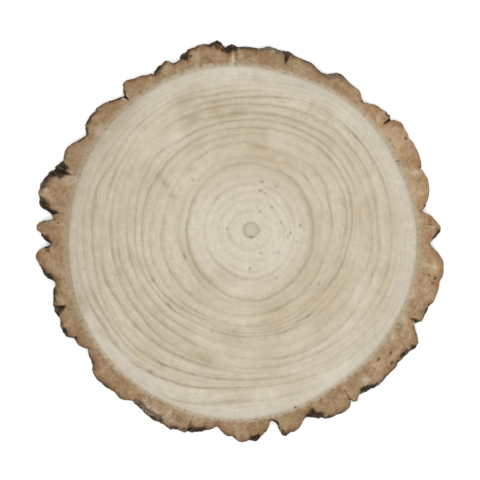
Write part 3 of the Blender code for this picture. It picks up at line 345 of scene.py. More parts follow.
# Depths and widths, in metres
PITH_RECESS = 0.6 * MM
FULLNESS = 0.45 * MM  # the ridges stand out of the plain outline by this much
# The side bark's furrows get painted shade that deepens with their depth, fullest at FURROW_DEPTH
FURROW_DEPTH = 7 * MM  # at which a furrow is at its darkest
LIP_DEPTH = 6.5 * MM  # how far below the upper face its broken edges show
RIM_DEPTH = 0.4 * MM  # the sawn rim keeps its place above this, and LEDGES start below it
LEAST_RING = 0.9 * MM  # between one ring and the next
LEAST_NEW_WOOD = 0.7 * MM  # between the last ring and the wood's edge

# What each point carries to the finishes. Places and gaps are in millimetres: ring_gap from a ring to
# the next, past_wood out from the wood's edge, from_edge in from the rim or up and down from the
# nearer sawn face. growth is 1 at the first ring, 2 at the second and so on. The rest are shares.
CARRIED = (
    "growth", "ring_gap", "ring_line", "past_wood", "from_edge", "speck_and_shade", "stain", "pale",
    "relief", "furrow", "weathered_and_shaded", "joining",
)  # fmt: skip

# What the wood's edge carries as its ring gap, and what both poles carry
EDGE_GAP = 5.0
POLE = {"growth": 0.0, "ring_gap": 4.0, "past_wood": -120.0}

SHARP = math.radians(50)  # faces that meet at more than this are drawn with an edge

# The stage: a floor just under the slice, a round softbox that leans to the right, and the lens
FLOOR_REACH = 3.0
FLOOR_GAP = 0.2 * MM  # keeps the floor out of the slice's underside
SOFTBOX_SIZE = 1.0
SOFTBOX_PLACE = (0.05, -0.06, 2.6)
SOFTBOX_TURN = (math.radians(1.3), math.radians(-28.0), 0.0)
AIR_LIGHT = 0.35
LENS_LENGTH_MM = 135
SENSOR_WIDTH_MM = 36
CAMERA_PLACE = (0.2 * MM, 0.3 * MM)  # puts the slice's middle where the photo has it

# How a colour is given to the settings
COLOUR = {"size": 4, "min": 0.0, "max": 1.0, "subtype": "COLOR"}


def linear(hex_colour):
    """A linear colour with alpha 1 from an sRGB one such as CBBEA4."""
    made = []
    for i in (0, 2, 4):
        value = int(hex_colour[i : i + 2], 16) / 255
        made.append(value / 12.92 if value <= 0.04045 else ((value + 0.055) / 1.055) ** 2.4)
    return (*made, 1.0)


class SliceSettings(bpy.types.PropertyGroup):
    """What a user would change on the wood slice."""

    ring_width: bpy.props.FloatProperty(
        name="Ring line",
        description="Most that the dark line that ends each year's growth is wide",
        default=0.0019,
        min=0.0002,
        max=0.004,
        unit="LENGTH",
    )
    ring_darkness: bpy.props.FloatProperty(
        name="Ring darkness",
        description="How dark the growth rings are",
        default=0.56,
        min=0.0,
        max=1.5,
        subtype="FACTOR",
    )
    bark_relief: bpy.props.FloatProperty(
        name="Bark relief",
        description="Height of the ridges and scales on the bark's side",
        default=0.0011,
        min=0.0,
        max=0.003,
        unit="LENGTH",
    )
    seed: bpy.props.IntProperty(
        name="Seed",
        description="Picks another set of ridges, scales and lower marks",
        default=7,
        min=0,
    )
    wood_colour: bpy.props.FloatVectorProperty(
        name="Wood",
        description="Colour of the sawn wood between its rings",
        default=linear("BCB39F"),
        **COLOUR,
    )
    ring_colour: bpy.props.FloatVectorProperty(
        name="Ring lines",
        description="Colour of the dense wood that ends each ring",
        default=linear("897D65"),
        **COLOUR,
    )
    cut_bark_colour: bpy.props.FloatVectorProperty(
        name="Cut bark",
        description="Colour of the bark where the saw went through it",
        default=linear("A18866"),
        **COLOUR,
    )
    outer_bark_colour: bpy.props.FloatVectorProperty(
        name="Outer bark",
        description="Colour of the weathered ridges on the bark's side",
        default=linear("63533F"),
        **COLOUR,
    )


class StudioSettings(bpy.types.PropertyGroup):
    """What a user would change on the stage."""

    floor_colour: bpy.props.FloatVectorProperty(
        name="Floor",
        description="Colour of the studio floor",
        default=linear("FDFDFC"),
        **COLOUR,
    )
    light_power: bpy.props.FloatProperty(
        name="Softbox",
        description="Power of the round softbox above the slice",
        default=76.0,
        min=0.0,
        unit="POWER",
    )
    view_width: bpy.props.FloatProperty(
        name="View width",
        description="Width that the camera takes in at the height of the upper face",
        default=PICTURE_STEPS * STEP,
        min=0.1,
        unit="LENGTH",
    )


def smoothed(share):
    """A share held between 0 and 1, rising along 3t^2 - 2t^3."""
    share = np.clip(share, 0, 1)
    return share * share * (3 - 2 * share)


def turn_between(degrees, centre):
    """The signed angle from the centre to each angle, in degrees from -180 to 180."""
    return (degrees - centre + 180) % 360 - 180


def lattice_noise(points, cell, seed):
    """Smooth noise from -1 to 1: each corner of a lattice with this cell (one size or three, in
    metres) has a random value, and a point takes the mean of its cell's eight corners, each
    weighted by the product of 3t^2 - 2t^3 along the three axes. A corner finds its value by its
    three numbers times three large primes, joined bit by bit."""
    count = 65536
    primes = (73856093, 19349663, 83492791)
    far_off = 1000.0  # keeps every corner's numbers above 0
    values = np.random.default_rng(seed).uniform(-1, 1, count)
    place = points / np.asarray(cell, float) + far_off
    corner = np.floor(place).astype(np.int64)
    weight = smoothed(place - corner)
    total = np.zeros(points.shape[:-1])
    for dx in (0, 1):
        for dy in (0, 1):
            for dz in (0, 1):
                near = corner + (dx, dy, dz)
                key = near[..., 0] * primes[0] ^ near[..., 1] * primes[1] ^ near[..., 2] * primes[2]
                share = np.abs(weight - (1 - np.array((dx, dy, dz)))).prod(axis=-1)
                total += share * values[key & (count - 1)]
    return total


def fractal_noise(points, cell, seed, octaves):
    """Lattice noise plus the same at half the cell and half the height, and so on."""
    cell = np.asarray(cell, float)
    heights = 0.5 ** np.arange(octaves)
    layers = [h * lattice_noise(points, cell * h, seed + i) for i, h in enumerate(heights)]
    return np.sum(layers, axis=0) / heights.sum()


def pith_place(co):
    """The middle of the recess that the CAD solid has in its upper face, as x and y."""
    near_middle = np.hypot(co[:, 0], co[:, 1]) < 50 * MM
    depth = HIGH[2] - co[:, 2]
    found = co[near_middle & (depth > 0.1 * MM) & (depth < 2 * MM)]
    if len(found) == 0:
        raise RuntimeError("the CAD solid has no pith recess in its upper face")
    return (found[:, :2].min(axis=0) + found[:, :2].max(axis=0)) / 2


def cad_points():
    """The points of the CAD solid."""
    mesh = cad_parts[NODE].data
    co = np.empty(len(mesh.vertices) * 3)
    mesh.vertices.foreach_get("co", co)
    return co.reshape(-1, 3)


def cad_levels(co, pith):
    """The CAD solid's bark as one (height, angles, radii) for each height that has an outline."""
    least_points = 100
    past_wood = 0.6 * MM
    heights = np.round(co[:, 2], 5)
    offset = co[:, :2] - pith
    radii = np.hypot(offset[:, 0], offset[:, 1])
    angles = np.arctan2(offset[:, 1], offset[:, 0]) % TURN
    on_bark = radii > wood_radius(angles) + past_wood
    levels = []
    for height in np.unique(heights[on_bark]):
        here = on_bark & (heights == height)
        if here.sum() > least_points:
            order = np.argsort(angles[here])
            levels.append((float(height), angles[here][order], radii[here][order]))
    return levels


def wood_radius(angles):
    """The wood's edge: the sum of the sines and cosines, up to the eighth, through WOOD_EDGE."""
    waves = np.fft.rfft(WOOD_EDGE) / len(WOOD_EDGE)
    orders = np.arange(1, len(waves) - 1)
    turned = np.exp(1j * np.multiply.outer(angles, orders))
    return (waves[0].real + 2 * (turned @ waves[1:-1]).real) * STEP


def ring_curves(angles):
    """Radius and darkness of every ring at each angle, with the pith's centre as ring 0 and the
    wood's edge as the last. A ring's points are joined by straight lines, then a bell-shaped
    mean over about 3 degrees rounds them. No ring comes closer than LEAST_RING to the one inside
    it, and the last ones keep LEAST_NEW_WOOD between them and the wood's edge."""
    fine = np.arange(0, 360, 0.25)
    waves_kept = 60.0
    order = np.fft.rfftfreq(len(fine), d=1 / len(fine))
    soften = np.exp(-((order / waves_kept) ** 2))
    radii, darkness = [np.zeros(len(angles))], [np.zeros(len(angles))]
    for ring in RINGS:
        degrees, steps, dark = np.array(ring, float).T
        for found, values in ((radii, steps * STEP), (darkness, dark)):
            curve = np.interp(fine, degrees, values, period=360)
            curve = np.fft.irfft(np.fft.rfft(curve) * soften, len(fine))
            found.append(np.interp(np.degrees(angles), fine, curve, period=360))
    radii.append(wood_radius(angles))
    darkness.append(np.zeros(len(angles)))
    for k in range(2, len(radii) - 1):
        radii[k] = np.maximum(radii[k], radii[k - 1] + LEAST_RING)
    for k in range(len(radii) - 2, 0, -1):
        radii[k] = np.minimum(radii[k], radii[k + 1] - LEAST_NEW_WOOD)
    return np.array(radii), np.clip(darkness, 0, 1)


def marks_at(degrees, radii, marks, spread=1.0):
    """The strongest of a list of marks at each point. A mark falls off as exp(-(a^2 + b^2)),
    where a and b are the distances along and across the ring over its half length and width."""
    steps = radii / STEP
    made = np.zeros(np.broadcast(degrees, radii).shape)
    for centre, radius, half_length, half_width, depth in marks:
        along = np.radians(turn_between(degrees, centre)) * radius / (half_length * spread)
        across = (steps - radius) / (half_width * spread)
        made = np.maximum(made, depth * np.exp(-(along**2) - across**2))
    return made


def stains_at(degrees, radii, marks):
    """The sum of a list of stains at each point, held between -1 and 1, with marks_at's fall-off."""
    made = np.zeros(np.broadcast(degrees, radii).shape)
    for *place, depth in marks:
        made += math.copysign(1, depth) * marks_at(degrees, radii, [(*place, abs(depth))])
    return np.clip(made, -1, 1)


def share_at(degrees, table):
    """A table of (degrees, share) at each angle, joined by straight lines."""
    return np.interp(degrees, *np.array(table, float).T, period=360)


def lower_marks(seed):
    """Marks for the underside, at seeded places in the wood."""
    rng = np.random.default_rng(seed)
    count = 60
    farthest = 185
    places = (rng.uniform(0, 360, count), farthest * np.sqrt(rng.uniform(0.02, 1, count)))
    sizes = (rng.uniform(1.4, 4.0, count), rng.uniform(0.8, 1.5, count), rng.uniform(0.3, 0.9, count))
    return tuple(zip(*places, *sizes))


def pale_lip(degrees):
    """How pale the broken edge is at each angle, from PALE_LIPS. Each fades out from 0.8 to 1.1
    times its half width."""
    made = np.zeros(np.shape(degrees))
    for start, end, paleness in PALE_LIPS:
        off = np.abs(turn_between(degrees, (start + end) / 2)) / ((end - start) / 2)
        made = np.maximum(made, paleness * smoothed((1.1 - off) / 0.3))
    return made


def bell_sum(degrees, table):
    """A sum of bell curves at each angle, in metres, one for each row of LEDGES or HOLLOWS."""
    made = np.zeros(len(degrees))
    for centre, half_width, reach in table:
        made += reach * MM * np.exp(-((turn_between(degrees, centre) / half_width) ** 2))
    return made


def column_angles(levels):
    """Angles that lie evenly along the outline midway up, so that steep sides get their share."""
    _, angles, radii = levels[len(levels) // 2]
    fine = np.linspace(0, TURN, 40 * 360 + 1)
    outline = np.interp(fine, angles, radii, period=TURN)
    lengths = np.hypot(np.diff(outline), outline[1:] * np.diff(fine))
    travelled = np.concatenate([[0.0], np.cumsum(lengths)])
    return np.interp(np.linspace(0, travelled[-1], COLUMNS, endpoint=False), travelled, fine)


def side_radii(angles, levels, heights):
    """The CAD solid's radius on a grid of heights by angles: straight lines between its levels."""
    known = np.array([level[0] for level in levels])
    outlines = np.array([np.interp(angles, a, r, period=TURN) for _, a, r in levels])
    upper = np.clip(np.searchsorted(known, heights), 1, len(known) - 1)
    share = (heights - known[upper - 1]) / (known[upper] - known[upper - 1])
    return outlines[upper - 1] * (1 - share[:, None]) + outlines[upper] * share[:, None]


def normals_of(points):
    """Unit normals of a grid that closes round its columns, from its central differences."""
    along = np.roll(points, -1, axis=1) - np.roll(points, 1, axis=1)
    up = np.gradient(points, axis=0)
    normals = np.cross(along, up)
    return normals / np.maximum(np.linalg.norm(normals, axis=-1, keepdims=True), 1e-12)


def bark_relief(points, seed):
    """Height of the bark's own roughness, from about -1 to 1: long ridges up the trunk (one less
    the size of stretched noise), scales (noise cut into steps), cracks across (where another
    noise is near 0) and grit."""
    ridge_size, scale_size, crack_size = np.array(((5.5, 5.5, 26), (4, 4, 7), (11, 11, 6))) * MM
    grit_size = 1.5 * MM
    steps = 4
    crack_width = 0.06
    ridges = 1 - 2.2 * np.abs(fractal_noise(points, ridge_size, seed, 3))
    scales = fractal_noise(points, scale_size, seed + 10, 2) * steps
    scales = (np.floor(scales) + smoothed((scales % 1) * 3)) / steps
    cracks = np.exp(-((fractal_noise(points, crack_size, seed + 20, 2) / crack_width) ** 2))
    grit = fractal_noise(points, grit_size, seed + 30, 2)
    return 0.6 * ridges + 0.7 * scales - 0.45 * cracks + 0.3 * grit - 0.35


def furrow_depth(outline):
    """How deep each column lies behind the plates beside it, as a share of FURROW_DEPTH. The
    plates' radius is the greatest one within 14 columns, then rounded by a bell 9 columns wide."""
    reach, bell = 14, 9.0
    plates = outline.copy()
    for shift in range(-reach, reach + 1):
        plates = np.maximum(plates, np.roll(outline, shift))
    window = np.exp(-(((np.arange(COLUMNS) - COLUMNS // 2) / bell) ** 2))
    spread = np.fft.fft(np.fft.ifftshift(window / window.sum())).real
    plates = np.fft.ifft(np.fft.fft(plates) * spread).real
    return np.clip((plates - outline) / FURROW_DEPTH, 0, 1)


def polar_points(pith, angles, radii, heights):
    """Points at these angles and radii about the pith, at these heights."""
    x = pith[0] + radii * np.cos(angles)
    y = pith[1] + radii * np.sin(angles)
    return np.stack(np.broadcast_arrays(x, y, heights), axis=-1)


def side_rows(pith, angles, levels, settings):
    """The bark's side, as a list of rows from the lower rim to the upper. A point is the CAD solid's
    outline at its angle and height, less HOLLOWS and plus LEDGES, moved along the surface's normal
    by FULLNESS and the bark's relief, which fades towards the sawn edges. Rows lie a little closer
    together near those edges."""
    degrees = np.degrees(angles)
    share = np.linspace(0, 1, SIDE_ROWS)
    share = share - 0.045 * np.sin(TURN * share)
    heights = LOW[2] + THICKNESS * share
    below_rim = smoothed((HIGH[2] - heights - RIM_DEPTH) / (1.2 * MM))
    radii = side_radii(angles, levels, heights) - bell_sum(degrees, HOLLOWS)
    radii += bell_sum(degrees, LEDGES) * below_rim[:, None]
    points = polar_points(pith, angles[None, :], radii, heights[:, None])

    depth = np.minimum(heights - LOW[2], HIGH[2] - heights)[:, None]
    relief = bark_relief(points, settings.seed)
    kept = 0.22 + 0.78 * smoothed(depth / (3.5 * MM))
    rounded_rim = 0.2 * MM * smoothed(1 - depth / (0.5 * MM))
    outwards = settings.bark_relief * relief * kept + FULLNESS - rounded_rim
    moved = points + normals_of(points) * outwards[..., None]
    raised = moved[..., 2] - heights[:, None]
    moved[..., 2] = heights[:, None] + raised * smoothed(depth / (2 * MM))
    moved[0, :, 2], moved[-1, :, 2] = LOW[2], HIGH[2]

    furrow = furrow_depth(radii[len(radii) // 2])
    lip = pale_lip(degrees)
    made = []
    for k, row in enumerate(moved):
        upper = smoothed(1 - (HIGH[2] - heights[k]) / LIP_DEPTH)
        values = {
            "from_edge": depth[k] / MM,
            "relief": relief[k],
            "furrow": furrow,
            "pale": lip * upper,
            "weathered_and_shaded": share_at(degrees, WEATHERED_AND_SHADED),
            "speck_and_shade": marks_at(degrees, radii[k], BARK_MARKS_AND_SHADE, MARK_SPREAD) * smoothed(2 * upper),
            "past_wood": (np.hypot(*(row[:, :2] - pith).T) - wood_radius(angles)) / MM,
        }
        made.append((row, values))
    return made


def inwards(height):
    """Which way is into the slice at this height: down from the upper face, up from the lower."""
    return -1 if height > THICKNESS / 2 else 1


def cut_rows(rim, pith, angles, height, count, marks, pale_marks, seed):
    """The sawn bark of one face, from the bark's rim in to the wood's edge, as a list of rows.
    Rows lie at smoothed shares of that width, with the surface worn down in its pits. The last
    one wanders along the wood's edge and keeps the face's height."""
    outer = np.hypot(*(rim[:, :2] - pith).T)
    rim_angles = np.arctan2(rim[:, 1] - pith[1], rim[:, 0] - pith[0])
    edge = wood_radius(angles)
    made = []
    for k in range(1, count):
        at_wood = k == count - 1
        share = k / (count - 1)
        share = 0.6 * share + 0.4 * smoothed(share)
        turned = rim_angles + share * ((angles - rim_angles + math.pi) % TURN - math.pi)
        degrees = np.degrees(turned)
        radii = outer * (1 - share) + edge * share
        points = polar_points(pith, turned, radii, height)
        dark = marks_at(degrees, radii, marks)
        if at_wood:
            ragged = 0.35 * MM * fractal_noise(points, 2.5 * MM, seed + 40, 2)
            points = polar_points(pith, turned, radii + ragged, height)
        else:
            worn = 0.10 + 0.16 * np.abs(fractal_noise(points, 3 * MM, seed + 50, 3))
            points[:, 2] += inwards(height) * (worn + 0.9 * dark) * MM
        values = {
            "past_wood": np.maximum(radii - edge, 0) / MM,
            "from_edge": (outer - radii) / MM,
            "speck_and_shade": dark,
            "pale": marks_at(degrees, radii, pale_marks),
            "growth": len(RINGS) + 1.0,
            "ring_gap": EDGE_GAP,
            "weathered_and_shaded": share_at(degrees, WEATHERED_AND_SHADED),
            "joining": share_at(degrees, JOINING),
        }
        made.append((points, values))
    return made


def wood_rows(pith, angles, height, row_mm, marks, stains):
    """The sawn wood of one face, from just inside its edge to just outside the pith's centre. The
    rows follow the growth rings: a row is at a share of the way from one ring to the next. The
    columns are halved at the radii in HALVINGS, by leaving out every second one."""
    recess_radius, recess_slope = 7.4 * STEP, 2.2 * STEP
    made = []
    halvings = [share * float(np.mean(wood_radius(angles))) for share in HALVINGS]
    columns = angles
    curves, darkness = ring_curves(columns)
    last = len(curves) - 1
    for k in range(last, 0, -1):
        mean_gap = float(np.mean(curves[k] - curves[k - 1]))
        steps = max(1, math.ceil(mean_gap / (row_mm * MM)))
        for i in range(0 if k < last else 1, steps):
            share = i / steps
            nearer = smoothed((share - 0.2) / 0.6)
            mean_radius = float(np.mean(curves[k] * (1 - share) + curves[k - 1] * share))
            while halvings and mean_radius < halvings[0]:
                halvings.pop(0)
                columns = columns[::2]
                curves, darkness = ring_curves(columns)
            radii = curves[k] * (1 - share) + curves[k - 1] * share
            here = curves[k] - curves[k - 1]
            outside = curves[min(k + 1, last)] - curves[min(k + 1, last) - 1]
            gap = (here + outside) / 2 if i == 0 else here
            points = polar_points(pith, columns, radii, height)
            sunk = PITH_RECESS * smoothed((recess_radius - radii) / recess_slope)
            points[:, 2] += inwards(height) * sunk
            degrees = np.degrees(columns)
            values = {
                "growth": k - share,
                "ring_gap": gap / MM,
                "ring_line": darkness[k] * (1 - nearer) + darkness[k - 1] * nearer,
                "past_wood": (radii - wood_radius(columns)) / MM,
                "speck_and_shade": marks_at(degrees, radii, marks, MARK_SPREAD),
                "stain": stains_at(degrees, radii, stains),
                "joining": share_at(degrees, JOINING),
            }
            made.append((points, values))
    return made


def grid_faces(points):
    """Triangles and quads between rows of points, and the row above each. Rows of one length are
    joined by quads. Where a row has half the points of its neighbour, three triangles join two
    steps to one, and a pole is joined by a fan. Faces are made from the longer row to the shorter,
    and turned round where the shorter one comes first."""
    starts = np.concatenate([[0], np.cumsum([len(row) for row in points])])
    faces, upper_rows = [], []
    for k in range(1, len(points)):
        longer, shorter = len(points[k - 1]), len(points[k])
        a, b = starts[k - 1], starts[k]
        turned = longer < shorter
        if turned:
            longer, shorter, a, b = shorter, longer, b, a
        here = np.arange(longer if shorter == 1 else shorter)
        after = (here + 1) % len(here)
        if shorter == 1:
            made = np.stack([a + here, a + after, np.full_like(here, b)], axis=1)
        elif longer == shorter:
            made = np.stack([a + here, a + after, b + after, b + here], axis=1)
        elif longer == 2 * shorter:
            middle = 2 * here + 1
            made = np.concatenate([
                np.stack([a + 2 * here, a + middle, b + here], axis=1),
                np.stack([a + middle, b + after, b + here], axis=1),
                np.stack([a + middle, a + 2 * after, b + after], axis=1),
            ])
        else:
            raise RuntimeError("two neighbouring rows of the slice don't fit together")
        faces += (made[:, ::-1] if turned else made).tolist()
        upper_rows += [k] * len(made)
    return faces, np.array(upper_rows)


def grown_slice(settings):
    """The slice's rows from the lower pole, out over the underside, up the bark and in over the
    upper face to the upper pole, each as (finish, points, values), where the finish is that of the
    faces between the row and the one before it. Returns the rows and the pith's place."""
    co = cad_points()
    pith = pith_place(co)
    levels = cad_levels(co, pith)
    angles = column_angles(levels)
    seed = settings.seed
    low, high = LOW[2], HIGH[2]
    side = side_rows(pith, angles, levels, settings)
    lower = wood_rows(pith, angles, low, LOWER_ROW_MM, lower_marks(seed), STAINS[::3])
    lower_cut = cut_rows(side[0][0], pith, angles, low, LOWER_CUT_ROWS, lower_marks(seed + 1), (), seed + 60)
    upper_cut = cut_rows(side[-1][0], pith, angles, high, CUT_ROWS, SPECKS_AND_SHADOW + BARK_MARKS_AND_SHADE, PALE_MARKS, seed)
    upper = wood_rows(pith, angles, high, ROW_MM, SPECKS_AND_SHADOW, STAINS)
    poles = [(np.array([[*pith, height]]), POLE) for height in (low + PITH_RECESS, high - PITH_RECESS)]
    parts = (
        ("sawn_wood", poles[:1] + lower[::-1] + lower_cut[-1:]),
        ("cut_bark", lower_cut[-2::-1] + side[:1]),
        ("weathered_bark", side[1:]),
        ("cut_bark", upper_cut),
        ("sawn_wood", upper + poles[1:]),
    )
    return [(finish, *row) for finish, part in parts for row in part], pith


def add(tree, kind, inputs=(), output=0, **settings):
    """Add a node with its settings. inputs are values, or the outputs that feed the sockets: a dict
    by the sockets' names, or a tuple in the order in which the node shows them. That is value, from,
    from, to and to for MapRange, and factor, first and second colour for Mix. What comes back is the
    node's output of this name or number."""
    made = tree.nodes.new("ShaderNode" + kind)
    for name, value in settings.items():
        setattr(made, name, value)
    shown = [socket for socket in made.inputs if socket.enabled]
    if isinstance(inputs, dict):
        names = [socket.name for socket in shown]
        inputs = {names.index(name): value for name, value in inputs.items()}
    else:
        inputs = dict(enumerate(inputs))
    for place, value in inputs.items():
        if isinstance(value, bpy.types.NodeSocket):
            tree.links.new(value, shown[place])
        else:
            shown[place].default_value = value
    outputs = [socket for socket in made.outputs if socket.enabled]
    if isinstance(output, str):
        return next(socket for socket in outputs if socket.name == output)
    return outputs[output]


def new_material(name):
    """An empty material and its node tree."""
    made = bpy.data.materials.new(name)
    made.use_nodes = True
    made.node_tree.nodes.clear()
    return made, made.node_tree


def surface(tree, sockets):
    """The Principled shader, with these values and outputs in its sockets, joined to the output."""
    shader = add(tree, "BsdfPrincipled", {"Metallic": 0.0, "IOR": 1.5, **sockets})
    output = tree.nodes.new("ShaderNodeOutputMaterial")
    tree.links.new(shader, output.inputs["Surface"])


def places(tree, pith):
    """The point's place in millimetres from the pith, the same without its height, and its direction
    from the pith. A noise that reads a place has patches of 1 / Scale millimetres."""
    coordinates = add(tree, "TexCoord", output="Object")
    offset = (-pith[0] / MM, -pith[1] / MM, 0.0)
    place = add(tree, "Mapping", {"Vector": coordinates, "Location": offset, "Scale": (1 / MM,) * 3})
    flat = add(tree, "VectorMath", (place, (1.0, 1.0, 0.0)), operation="MULTIPLY")
    direction = add(tree, "VectorMath", (flat,), operation="NORMALIZE")
    return place, flat, direction


def ring_noise(tree, direction, along, outwards, value, detail, roughness=0.5):
    """Noise drawn out round the pith. It has `along` patches to a turn's radian, and `outwards`
    patches where the value, such as the growth, rises by 1."""
    turned = add(tree, "VectorMath", (direction, along), operation="SCALE")
    scaled = add(tree, "Math", (value, outwards), operation="MULTIPLY")
    height = add(tree, "CombineXYZ", {"Z": scaled})
    place = add(tree, "VectorMath", (turned, height), operation="ADD")
    return add(tree, "TexNoise", {"Vector": place, "Scale": 1.0, "Detail": detail, "Roughness": roughness})


def shaded(tree, colour, shade):
    """A colour times a shade that lies round 1."""
    grey = add(tree, "CombineColor", (shade, shade, shade))
    return add(tree, "Mix", (1.0, colour, grey), data_type="RGBA", blend_type="MULTIPLY")


def joining_colour(tree, joining):
    """The colour of the band that joins wood and bark: pale cream where it is narrow, olive
    beige where it is wide."""
    return add(tree, "Mix", (joining, linear("AFA592"), linear("948770")), data_type="RGBA")


def plain_wood(tree, settings, place, growth, past_wood):
    """The wood's colour without its rings, and how far a place lies in the heart or the new wood,
    where the ring lines are few."""
    # Slow changes of colour over 50 mm, a lighter heart and paler new wood under the bark
    patch = add(tree, "TexNoise", {"Vector": place, "Scale": 0.02, "Detail": 3.0})
    patch = add(tree, "MapRange", (patch, 0.35, 0.65))
    colour = add(tree, "Mix", (patch, tuple(settings.wood_colour), linear("B0A38B")), data_type="RGBA")
    heart = add(tree, "MapRange", (growth, 4.0, 8.0, 0.75, 0.0), interpolation_type="SMOOTHSTEP")
    colour = add(tree, "Mix", (heart, colour, linear("BDB4A4")), data_type="RGBA")
    new_wood = add(tree, "MapRange", (past_wood, -20.0, -3.0, 0.0, 0.6), interpolation_type="SMOOTHSTEP")
    colour = add(tree, "Mix", (new_wood, colour, linear("B8B0A4")), data_type="RGBA")

    # The pith is a soft greyish disc, and the ring line over it draws its dark rim, with painted
    # shadow on the recess's lower and left side
    pith_share = add(tree, "MapRange", (growth, 0.9, 1.1, 0.8, 0.0))
    colour = add(tree, "Mix", (pith_share, colour, linear("ACA392")), data_type="RGBA")
    return colour, add(tree, "Math", (heart, new_wood), operation="ADD")


def ring_lines(tree, settings, direction, growth, gap, line):
    """How dark the rings make the wood: the line that ends each year, the denser wood before it and
    the faint lines between."""
    # Where the ring line is: the growth is whole there, and noise lets it wander by half a millimetre
    wander = ring_noise(tree, direction, 9.0, 0.9, growth, detail=3.0)
    wander = add(tree, "Math", (wander, 0.16, -0.08), operation="MULTIPLY_ADD")
    ring = add(tree, "Math", (growth, wander), operation="ADD")
    half_on = add(tree, "Math", (ring, 0.5), operation="ADD")
    share = add(tree, "Math", (half_on,), operation="FRACT")
    centred = add(tree, "Math", (share, 0.5), operation="SUBTRACT")
    signed = add(tree, "Math", (centred, gap), operation="MULTIPLY")
    distance = add(tree, "Math", (signed,), operation="ABSOLUTE")

    # The line itself, up to half as wide as its year, fainter where the noise is low
    uneven = ring_noise(tree, direction, 16.0, 1.7, growth, detail=3.0)
    room = add(tree, "MapRange", (uneven, 0.3, 0.7, 0.3, 0.58))
    near_pith = add(tree, "MapRange", (growth, 1.3, 2.0, 0.45, 1.0))
    room = add(tree, "Math", (room, near_pith), operation="MULTIPLY")
    room = add(tree, "Math", (room, gap), operation="MULTIPLY")
    width = add(tree, "Math", (room, settings.ring_width / MM), operation="MINIMUM")
    core = add(tree, "MapRange", (distance, 0.0, width, 0.85, 0.0), interpolation_type="SMOOTHSTEP")
    bright = add(tree, "MapRange", (uneven, 0.32, 0.62, 0.7, 1.05))
    core = add(tree, "Math", (core, bright), operation="MULTIPLY")

    # The wood gets denser, so darker, for some 4 mm before the line
    inside = add(tree, "Math", (signed, 1.3), operation="ADD")
    inside = add(tree, "Math", (inside,), operation="ABSOLUTE")
    late = add(tree, "MapRange", (inside, 0.0, 4.5, 0.3, 0.0), interpolation_type="SMOOTHSTEP")
    late = add(tree, "Math", (late, near_pith), operation="MULTIPLY")

    # Faint lines between the rings, drawn 1 mm wide because the real ones are finer than the picture
    fine = ring_noise(tree, direction, 5.0, 6.5, growth, detail=4.0, roughness=0.6)
    fine = add(tree, "MapRange", (fine, 0.48, 0.72, 0.0, 0.34))
    outer = add(tree, "MapRange", (growth, 5.0, 9.0, 0.35, 1.0))
    fine = add(tree, "Math", (fine, outer), operation="MULTIPLY")
    streaks = ring_noise(tree, direction, 26.0, 9.0, growth, detail=1.0)
    streaks = add(tree, "MapRange", (streaks, 0.58, 0.76, 0.0, 0.25))
    fine = add(tree, "Math", (streaks, outer, fine), operation="MULTIPLY_ADD")
    clear = add(tree, "MapRange", (line, 0.0, 0.8, 0.35, 1.15))
    fine = add(tree, "Math", (fine, clear), operation="MULTIPLY")
    dark = add(tree, "Math", (core, late), operation="ADD")
    dark = add(tree, "Math", (dark, line), operation="MULTIPLY")
    return add(tree, "Math", (dark, settings.ring_darkness, fine), operation="MULTIPLY_ADD")


def marked_wood(tree, place, colour, stain, speck_and_shade):
    """The wood's colour with its stains, specks, the painted shadow at the pith's rim, and dust."""
    # Stains are tan, and a negative stain is paler wood
    cloudy = add(tree, "TexNoise", {"Vector": place, "Scale": 0.3, "Detail": 3.0})
    cloudy = add(tree, "MapRange", (cloudy, 0.3, 0.65, 0.5))
    stained = add(tree, "Math", (stain, cloudy), operation="MULTIPLY", use_clamp=True)
    colour = add(tree, "Mix", (stained, colour, linear("958567")), data_type="RGBA")
    paler = add(tree, "Math", (stain, -1.0), operation="MULTIPLY", use_clamp=True)
    colour = add(tree, "Mix", (paler, colour, linear("C7C0B3")), data_type="RGBA")

    # Specks are dark grains with ragged edges, and two of the marks draw painted shadow at the pith's rim
    speck_noise = add(tree, "TexNoise", {"Vector": place, "Scale": 0.9, "Detail": 2.0})
    speck_noise = add(tree, "MapRange", (speck_noise, 0.3, 0.6, 0.6))
    specks_and_shadow = add(tree, "Math", (speck_and_shade, speck_noise), operation="MULTIPLY")
    specks_and_shadow = add(tree, "MapRange", (specks_and_shadow, 0.15, 0.7, 0.0, 0.5), interpolation_type="SMOOTHSTEP")
    colour = add(tree, "Mix", (specks_and_shadow, colour, linear("695F50")), data_type="RGBA")

    # Sparse grains of dust, drawn 0.8 mm wide because real ones are finer than the picture
    dust = add(tree, "TexNoise", {"Vector": place, "Scale": 0.7, "Detail": 1.0})
    dust = add(tree, "MapRange", (dust, 0.72, 0.8, 0.0, 0.45))
    return add(tree, "Mix", (dust, colour, linear("796F5E")), data_type="RGBA")


